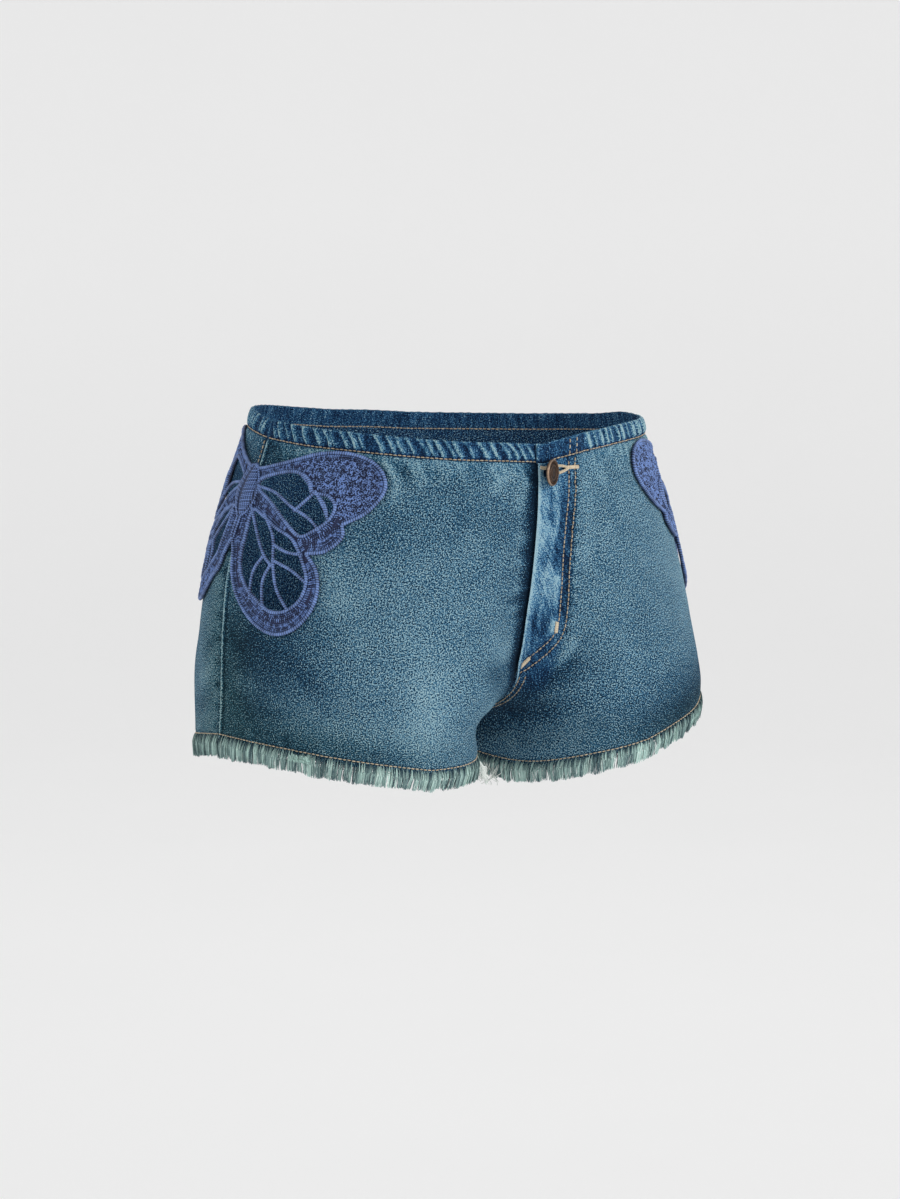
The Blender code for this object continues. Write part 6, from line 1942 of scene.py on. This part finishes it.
def make_body(heap, leg):
    """The butterfly's body: a ribbed spindle on the side seam, with a cord on each side."""
    downs = steps(BODY_TOP, TAIL_END, BODY_STEP)
    share = (downs - BODY_TOP) / (BODY_END - BODY_TOP)
    bulge = np.clip(np.sin(math.pi * np.clip(share, 0.03, 0.97)), 0.05, 1.0)
    at_top, gain = BODY_SWELL
    half = BODY_HALF * np.sqrt(bulge) * (at_top + gain * share) * (share < 1.0)
    half = np.maximum(half, TAIL_HALF)
    height = BODY_HEIGHT * np.minimum(half / BODY_HALF, 1.0)

    def top_lift(from_middle, height):
        dome = np.sqrt(np.clip(1.0 - BODY_ROUND * from_middle**2, 0.0, 1.0))
        return CORD_LIFT + height * dome - BODY_SINK

    columns_across = np.linspace(-1.0, 1.0, BODY_COLUMNS)
    plan = pairs(columns_across * half[:, None], downs[:, None])
    top = placed(leg.place_wing, plan, top_lift(columns_across, height[:, None]))
    base = placed(leg.place_wing, plan, LACE_CLEAR)
    rows, count = plan.shape[:2]
    size = rows * count
    numbers = np.arange(size).reshape(rows, count)
    sheet = np.stack([numbers[:-1, :-1], numbers[:-1, 1:], numbers[1:, 1:], numbers[1:, :-1]], -1)
    sheet = sheet.reshape(-1, 4)
    rim = np.concatenate([numbers[0], numbers[1:, -1], numbers[-1, -2::-1], numbers[-2:0:-1, 0]])
    after = np.roll(rim, -1)
    faces = np.concatenate([sheet, sheet[:, ::-1] + size,
                            np.stack([rim, rim + size, after + size, after], 1)])
    if leg.side == RIGHT:
        faces = faces[:, ::-1]
    heap.add(np.concatenate([top, base]).reshape(-1, 3), [faces], np.full(2 * size, BODY_TONE),
             np.concatenate([plan, plan]).reshape(-1, 2))
    for side in (-1, 1):
        lay_cord(heap, leg, pairs(side * half, downs), THIN_RADIUS, CORD_LIFT + BODY_CORD_RISE)
        middles = pairs(side * 0.5 * half, downs)[1:-1]
        inner_half = half[1:-1, None]
        rib = unit(np.array([float(side), RIB_SLOPE])) * inner_half
        spots = middles[:, None] + np.linspace(-RIB_SPAN, RIB_SPAN, len(RIB_TAPER))[:, None] * rib[:, None]
        lifts = top_lift(spots[..., 0] / inner_half, height[1:-1, None]) + RIB_RISE
        tones = RIB_TONE + RIB_TONE_SWING * np.sin(np.arange(len(middles)) * RIB_TONE_PACE)
        heap.tubes(placed(leg.place_wing, spots, lifts), RIB_RADIUS * RIB_TAPER,
                   lace_ups(leg, *middles.T, lifts[:, 2]), RIB_SIDES, tones, CORD_TOP_LIGHT)


def make_lace(side_name, leg, ground_material, thread):
    """An openwork butterfly over the hip: its ground, cords, body and stitches."""
    rng = np.random.default_rng(LACE_SEEDS[side_name])
    name = "butterfly_" + side_name
    outline, windows = lace_outlines(LACE_STEP)
    fill = grid_points(outline, LACE_FILL_STEP, 0.5 * LACE_FILL_STEP)
    for window in windows:
        fill = fill[~inside(fill, window) & (distance(fill, window) > 0.4 * LACE_FILL_STEP)]
    plan, faces = plan_mesh(outline, windows, fill)

    def outer(plan):
        ripple = np.sin(plan[:, 0] / LACE_RIPPLE_ACROSS) * np.sin(plan[:, 1] / LACE_RIPPLE_DOWN)
        return LACE_FILL + LACE_RIPPLE * ripple

    points, shell, places = wall(plan, faces, leg.place_wing, outer,
                                 lambda plan: np.full(len(plan), LACE_CLEAR))
    ground = cloth_piece(name + "_ground", points, shell, places, {"shade": 0.0}, ground_material,
                         name, 50.0)

    cords = Heap()
    for contour in (outline, *windows):
        lay_cord(cords, leg, contour, CORD_RADIUS, CORD_LIFT, closed=True)
    for line in both_sides(VEINS):
        lay_cord(cords, leg, line, VEIN_RADIUS, CORD_LIFT + VEIN_RISE)
    for line in both_sides(THIN_VEINS):
        lay_cord(cords, leg, line, THIN_RADIUS, CORD_LIFT)
    make_body(cords, leg)
    cord_piece = cords.build(name + "_cords", thread, "corded_lace")

    stitches = Heap()
    wing_tip = rounded(WING_TIP, WING_TIP_STEP, closed=True) * MM
    tips = [wing_tip, mirrored(wing_tip)]
    middles, headings = satin_rows(outline, windows, rng)
    in_tip = inside(middles, tips[0]) | inside(middles, tips[1])
    keep = ~(in_tip & (distance(middles, outline) > CORD_RADIUS + SATIN_ROW))
    middles, headings = middles[keep], headings[keep]
    shades = thread_shades(rng, len(middles))
    band = np.array(DARK_BAND) * MM
    for dark in (band, mirrored(band)):
        shades = shades + DARK_BAND_SHADE * inside(middles, dark)
    strokes(stitches, leg, middles, headings, np.clip(shades, 0.0, 1.0))
    spots = np.concatenate([grid_points(tip, CURL_PITCH, CURL_CLEAR) for tip in tips])
    spots = spots[distance(spots, outline) > CORD_RADIUS + 0.9 * SATIN_ROW]
    spots = spots + rng.uniform(-CURL_JITTER, CURL_JITTER, spots.shape) * CURL_PITCH
    curls(stitches, leg, spots, rng)
    stitch_piece = stitches.build(name + "_stitches", thread, "corded_lace")

    size = np.ptp(outline, axis=0)
    cloth_area(plan, faces)


# ---------------------------------------------------------------- frayed hem

class Hem:
    """The raw edge of one leg.

    A station runs from the side seam over the front to the inseam, and on over the back.
    """

    def __init__(self, leg):
        self.leg = leg
        self.front = float(leg.front.length(SEAM_LENGTH))
        self.around = self.front + float(leg.back.length(SEAM_LENGTH))

    def place(self, station, down, lift):
        station, down, lift = spread(station, down, lift)
        station = np.mod(station, self.around)
        across = np.where(station <= self.front, station, station - self.around)
        return self.leg.place(across, down, lift)

    def ups(self, station):
        """The direction out of the cloth."""
        return unit(self.place(station, SEAM_LENGTH, MM) - self.place(station, SEAM_LENGTH, 0.0))


def short_threads(heap, hem, rng):
    """The fringe itself: clumps of threads out of the cloth's outer face and its thickness."""
    clumps = np.cumsum(rng.uniform(*CLUMP_SPACING, round(hem.around / CLUMP_PITCH)))
    clumps *= hem.around / clumps[-1]
    clump_swing = rng.normal(0.0, 1.0, len(clumps)) * CLUMP_UNEVEN
    clump_length = THREAD_LENGTH + rng.normal(0.0, 1.0, len(clumps)) * CLUMP_UNEVEN
    clump_tone = rng.normal(0.0, CLUMP_TONE_SPREAD, len(clumps))
    clump_flare = rng.uniform(*CLUMP_FLARE, len(clumps)) * THREAD_FLARE
    roots = np.sort(rng.uniform(0.0, hem.around, THREADS))
    own = np.abs(roots[:, None] - clumps).argmin(axis=1)
    outer = rng.uniform(0.0, 1.0, THREADS) < OUTER_SHARE
    above = np.where(outer, rng.uniform(*OUTER_STARTS, THREADS) * OUTER_START, INNER_START)
    depth = np.where(outer, OUTER_LIFT, rng.uniform(*INNER_DEPTHS, THREADS) * CLOTH)
    below = np.interp(roots, clumps, clump_length) + rng.uniform(*THREAD_ENDS, THREADS) * THREAD_UNEVEN
    pull = CLUMP_PULL * (clumps[own] - roots) + np.interp(roots, clumps, clump_swing)
    pull = pull + rng.normal(0.0, THREAD_WANDER, THREADS) * MM
    wave = rng.uniform(-1.0, 1.0, (THREADS, 1)) * np.sin(THREAD_WAVE_TURNS * math.pi * THREAD_SHARES)
    stations = roots[:, None] + pull[:, None] * smooth(THREAD_SHARES * THREAD_BEND) + wave * THREAD_WAVE
    downs = SEAM_LENGTH - above[:, None] + (above + below)[:, None] * THREAD_SHARES
    bulge = THREAD_BULGE * np.sin(math.pi * np.minimum(THREAD_SHARES * THREAD_BEND, 1.0))
    lifts = depth[:, None] + clump_flare[own][:, None] * THREAD_SHARES**FLARE_GROWTH + bulge
    tone = rng.normal(THREAD_TONE, THREAD_TONE_SPREAD, THREADS) + clump_tone[own]
    tone = np.clip(tone + DEEP_SHADE * (depth < DEEP * CLOTH), *THREAD_TONE_RANGE)
    heap.tubes(placed(hem.place, pairs(stations, downs), lifts), THREAD_RADIUS * THREAD_TAPER,
               hem.ups(roots), SHORT_SIDES, tone[:, None] + THREAD_TONES)


def edge_warps(heap, hem):
    """The threads that still run along the raw edge."""
    where = steps(0.0, hem.around, WARP_STEP)
    for row in range(EDGE_WARPS):
        ripple = sum(height * np.sin(where / length + offset * row)
                     for height, length, offset in WARP_RIPPLES)
        down = SEAM_LENGTH + WARP_START + row * WARP_PITCH + ripple
        path = hem.place(where, down, WARP_LIFT - row * WARP_SINK)
        heap.tubes(path[None], WARP_RADIUS, hem.ups(where)[None], THREAD_SIDES, WARP_TONE)


def loose_threads(heap, hem, rng):
    """Long pale threads at the inner thigh."""
    each = (LOOSE_THREADS, 1)
    roots = hem.front - LOOSE_PLACES[hem.leg.side] + rng.normal(0.0, LOOSE_SPREAD, LOOSE_THREADS) * MM
    reach = rng.uniform(*LOOSE_LENGTHS, each) * MM
    phase = rng.uniform(0.0, 2 * math.pi, each)
    curl = rng.uniform(*LOOSE_CURLS, each) * MM * LONG_SHARES
    along_turn, out_turn = LOOSE_WAVES
    stations = roots[:, None] + curl * np.sin(LONG_SHARES * along_turn + phase)
    hang = LONG_SHARES - LOOSE_HANG * np.maximum(LONG_SHARES - LOOSE_HANG_START, 0.0)
    lifts = LOOSE_LIFT + LOOSE_SWING * LONG_SHARES + curl * np.cos(LONG_SHARES * out_turn + phase)
    heap.tubes(placed(hem.place, pairs(stations, SEAM_LENGTH + reach * hang), lifts), LOOSE_RADIUS,
               hem.ups(roots), THREAD_SIDES, LOOSE_SHADE)


def tuft(heap, hem, rng):
    """The looped bunch of threads, which rise over the hem and hang down again."""
    each = (TUFT_THREADS, 1)
    roots = TUFT_PLACE + rng.uniform(-0.5, 0.5, TUFT_THREADS) * TUFT_WIDTH
    rise = rng.uniform(*TUFT_RISES, each) * MM
    stations = roots[:, None] + rng.uniform(*TUFT_SLANTS, each) * MM * LONG_SHARES
    downs = SEAM_LENGTH + TUFT_DROP * np.sin(math.pi * LONG_SHARES)
    downs = downs - rise * np.sin(TUFT_RISE_TURN * math.pi * LONG_SHARES)**2
    downs = downs + TUFT_END_DROP * np.maximum(LONG_SHARES - TUFT_END, 0.0)
    arch = np.sin(math.pi * LONG_SHARES * TUFT_LIFT_TURN)
    lifts = TUFT_LIFT + rng.uniform(*TUFT_LIFTS, each) * MM * arch
    tone = np.clip(rng.normal(TUFT_TONE, TUFT_TONE_SPREAD, TUFT_THREADS), *TUFT_TONE_RANGE)
    heap.tubes(placed(hem.place, pairs(stations, downs), lifts), THREAD_RADIUS, hem.ups(roots),
               THREAD_SIDES, tone)


def make_fringe(side_name, leg, material):
    """The frayed raw edge of one leg."""
    rng = np.random.default_rng(FRINGE_SEEDS[side_name])
    heap, hem = Heap(), Hem(leg)
    short_threads(heap, hem, rng)
    edge_warps(heap, hem)
    loose_threads(heap, hem, rng)
    if leg.side == RIGHT:
        tuft(heap, hem, rng)
    node = "fringe_" + side_name
    return heap.build(node + "_threads", material, "frayed_thread", (node,))


# ---------------------------------------------------------------- button

def make_button(right, left, material):
    """A shank button: a turned cap of plain rings, with a rim of small beads, over its shank."""
    flap = FlapSide(right, left)
    across = float(left.front.length(BUTTON_DOWN)) - BUTTON_ACROSS
    foot, head = flap.place([across, across], [BUTTON_DOWN] * 2, [GAP - FLAP_RISE, SHANK_RADIUS])
    straight_out = unit(head - foot)
    level = unit(np.cross(straight_out, (0.0, 0.0, 1.0)))
    up = np.cross(level, straight_out)
    tilt = math.radians(BUTTON_TILT)
    lean_to = level * math.copysign(1.0, level[0])
    axis = straight_out * math.cos(tilt) + lean_to * math.sin(tilt)
    side = unit(np.cross(axis, up))
    side = side * math.copysign(1.0, side @ level)
    neck = foot + straight_out * BUTTON_NECK - lean_to * BUTTON_SHIFT

    rows = np.array(BUTTON_PROFILE)
    radius, height, shade = rows[:, 0] * MM * BUTTON_SCALE, rows[:, 1] * MM, rows[:, 2]
    ring = circle(BUTTON_SIDES) @ np.array([side, up])
    points = neck + radius[:, None, None] * ring + height[:, None, None] * axis
    points[0] = foot + radius[0] * ring
    numbers = np.arange(len(rows) * BUTTON_SIDES).reshape(len(rows), BUTTON_SIDES)
    after = np.roll(numbers, -1, axis=1)
    faces = np.stack([numbers[:-1], numbers[1:], after[1:], after[:-1]], -1).reshape(-1, 4)
    flat = radius[:, None, None] * circle(BUTTON_SIDES)
    heap = Heap()
    heap.add(points.reshape(-1, 3), (faces, numbers[:1], numbers[-1:, ::-1]),
             np.repeat(shade, BUTTON_SIDES), flat.reshape(-1, 2))

    out = circle(BEADS) @ np.array([side, up])
    middles = neck + BEAD_CIRCLE * out + BEAD_HEIGHT * axis
    slant = BEAD_OUT * out + BEAD_AROUND * np.cross(axis, out)
    lean = np.linspace(-BEAD_LEAN, BEAD_LEAN, len(BEAD_TAPER))
    heap.tubes(middles[:, None] + lean[:, None] * slant[:, None], BEAD_RADIUS * BEAD_TAPER,
               np.broadcast_to(axis, out.shape), BEAD_SIDES, BEAD_TONE)
    heap.build("fly_button", material, "antique_brass", ("button",))


# ---------------------------------------------------------------- room, camera and light

def aim(place, target):
    """The turn that points a camera or a lamp at a place."""
    return (place - target).to_track_quat("Z", "Y").to_euler()


def around_target(azimuth, elevation, away):
    """A place around the target; azimuth 0 is in front, and above 0 toward the wearer's left."""
    turn, rise = math.radians(azimuth), math.radians(elevation)
    return TARGET + away * Vector((math.sin(turn) * math.cos(rise), -math.cos(turn) * math.cos(rise),
                                   math.sin(rise)))


def make_camera():
    data = bpy.data.cameras.new("camera")
    data.sensor_width = SENSOR
    data.lens = SCALE * DISTANCE * SENSOR / PHOTO_HEIGHT
    camera = bpy.data.objects.new("camera", data)
    camera.location = around_target(AZIMUTH, ELEVATION, DISTANCE)
    camera.rotation_euler = aim(camera.location, TARGET)
    bpy.context.scene.collection.objects.link(camera)
    bpy.context.scene.camera = camera


def make_room():
    """A pale floor that turns up into a round wall."""
    profile = [(radius, FLOOR_Z) for radius in FLOOR_RADII]
    profile += [(FLOOR_RADII[-1] + WALL_BEND * math.sin(turn), FLOOR_Z + WALL_BEND * (1 - math.cos(turn)))
                for turn in np.radians(np.linspace(10, 90, 9))]
    profile.append((FLOOR_RADII[-1] + WALL_BEND, WALL_TOP))
    points = [(radius * x, radius * y, height) for radius, height in profile
              for x, y in circle(ROOM_SIDES).tolist()]
    faces = [(row * ROOM_SIDES + index, row * ROOM_SIDES + after,
              (row + 1) * ROOM_SIDES + after, (row + 1) * ROOM_SIDES + index)
             for row in range(len(profile) - 1)
             for index, after in enumerate([*range(1, ROOM_SIDES), 0])]
    mesh = bpy.data.meshes.new("room")
    mesh.from_pydata(points, [], faces)
    mesh.materials.append(room_material())
    mesh.shade_smooth()
    room = bpy.data.objects.new("room", mesh)
    bpy.context.scene.collection.objects.link(room)


def make_light():
    """Three soft lamps and an even sky."""
    for index, lamp in enumerate(LAMPS):
        data = bpy.data.lights.new(f"lamp_{index}", "AREA")
        data.shape, data.size, data.energy = "DISK", lamp.size, lamp.power
        light = bpy.data.objects.new(f"lamp_{index}", data)
        light.location = around_target(lamp.azimuth, lamp.elevation, lamp.distance)
        light.rotation_euler = aim(light.location, TARGET)
        bpy.context.scene.collection.objects.link(light)
    world = bpy.data.worlds.new("sky")
    world.use_nodes = True
    world.node_tree.nodes["Background"].inputs["Color"].default_value = (1.0, 1.0, 1.0, 1.0)
    world.node_tree.nodes["Background"].inputs["Strength"].default_value = ROOM_LIGHT
    bpy.context.scene.world = world
    bpy.context.scene.view_settings.view_transform = "Standard"


# ---------------------------------------------------------------- the shorts

def make_panels(right, left, ends, material):
    """The four panels of denim: their cloth, and their pieces with flat size and area."""
    places = {
        "front_right": (right, FRONT, apart(right.front, RIGHT, FRONT), straight),
        "front_left": (left, FRONT, FlapSide(right, left).place, lap),
        "back_right": (right, BACK, apart(right.back, RIGHT, BACK), straight),
        "back_left": (left, BACK, apart(left.back, LEFT, BACK), straight),
    }
    cloths, panels = {}, {}
    for name, (leg, facing, place, past_centre) in places.items():
        cloth = Cloth(name, leg, facing, place, ends[name])
        outline = panel_outline(cloth.quarter, bay_outline(leg, facing), past_centre)
        cuts = [keyhole(left.front)] if cloth.is_flap else []
        cloths[name], panels[name] = cloth, make_panel(cloth, outline, cuts, material)
    return cloths, panels


def main():
    make_camera()
    make_room()
    make_light()
    right, left = Leg(RIGHT), Leg(LEFT)
    denim = denim_material("washed_denim", DENIM_LEVEL)
    casing_denim = denim_material("casing_denim", CASING_LEVEL)
    tan, blue, fray = (thread_material(thread) for thread in (TAN_THREAD, LACE_THREAD, FRAYED_THREAD))

    casings, ends = make_casings(right, left)
    cloths, panels = make_panels(right, left, ends, denim)
    sewing = make_sewing(cloths, casings, tan)
    fringes = {name: make_fringe(name, leg, fray) for name, leg in (("right", right), ("left", left))}
    along = {"front_right": [fringes["right"]], "front_left": [fringes["left"], sewing["fly_stitches"]],
             "back_right": [sewing["seam_stitches"]], "back_left": []}
    for name, (piece, flat, area) in panels.items():
        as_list(along[name])
    for name, casing in casings.items():
        piece, length, width = casing.build(casing_denim)
    make_shield(left, casing_denim)
    make_button(right, left, brass_material())
    ground = lace_ground_material()
    make_lace("right", right, ground, blue)
    make_lace("left", left, ground, blue)


main()
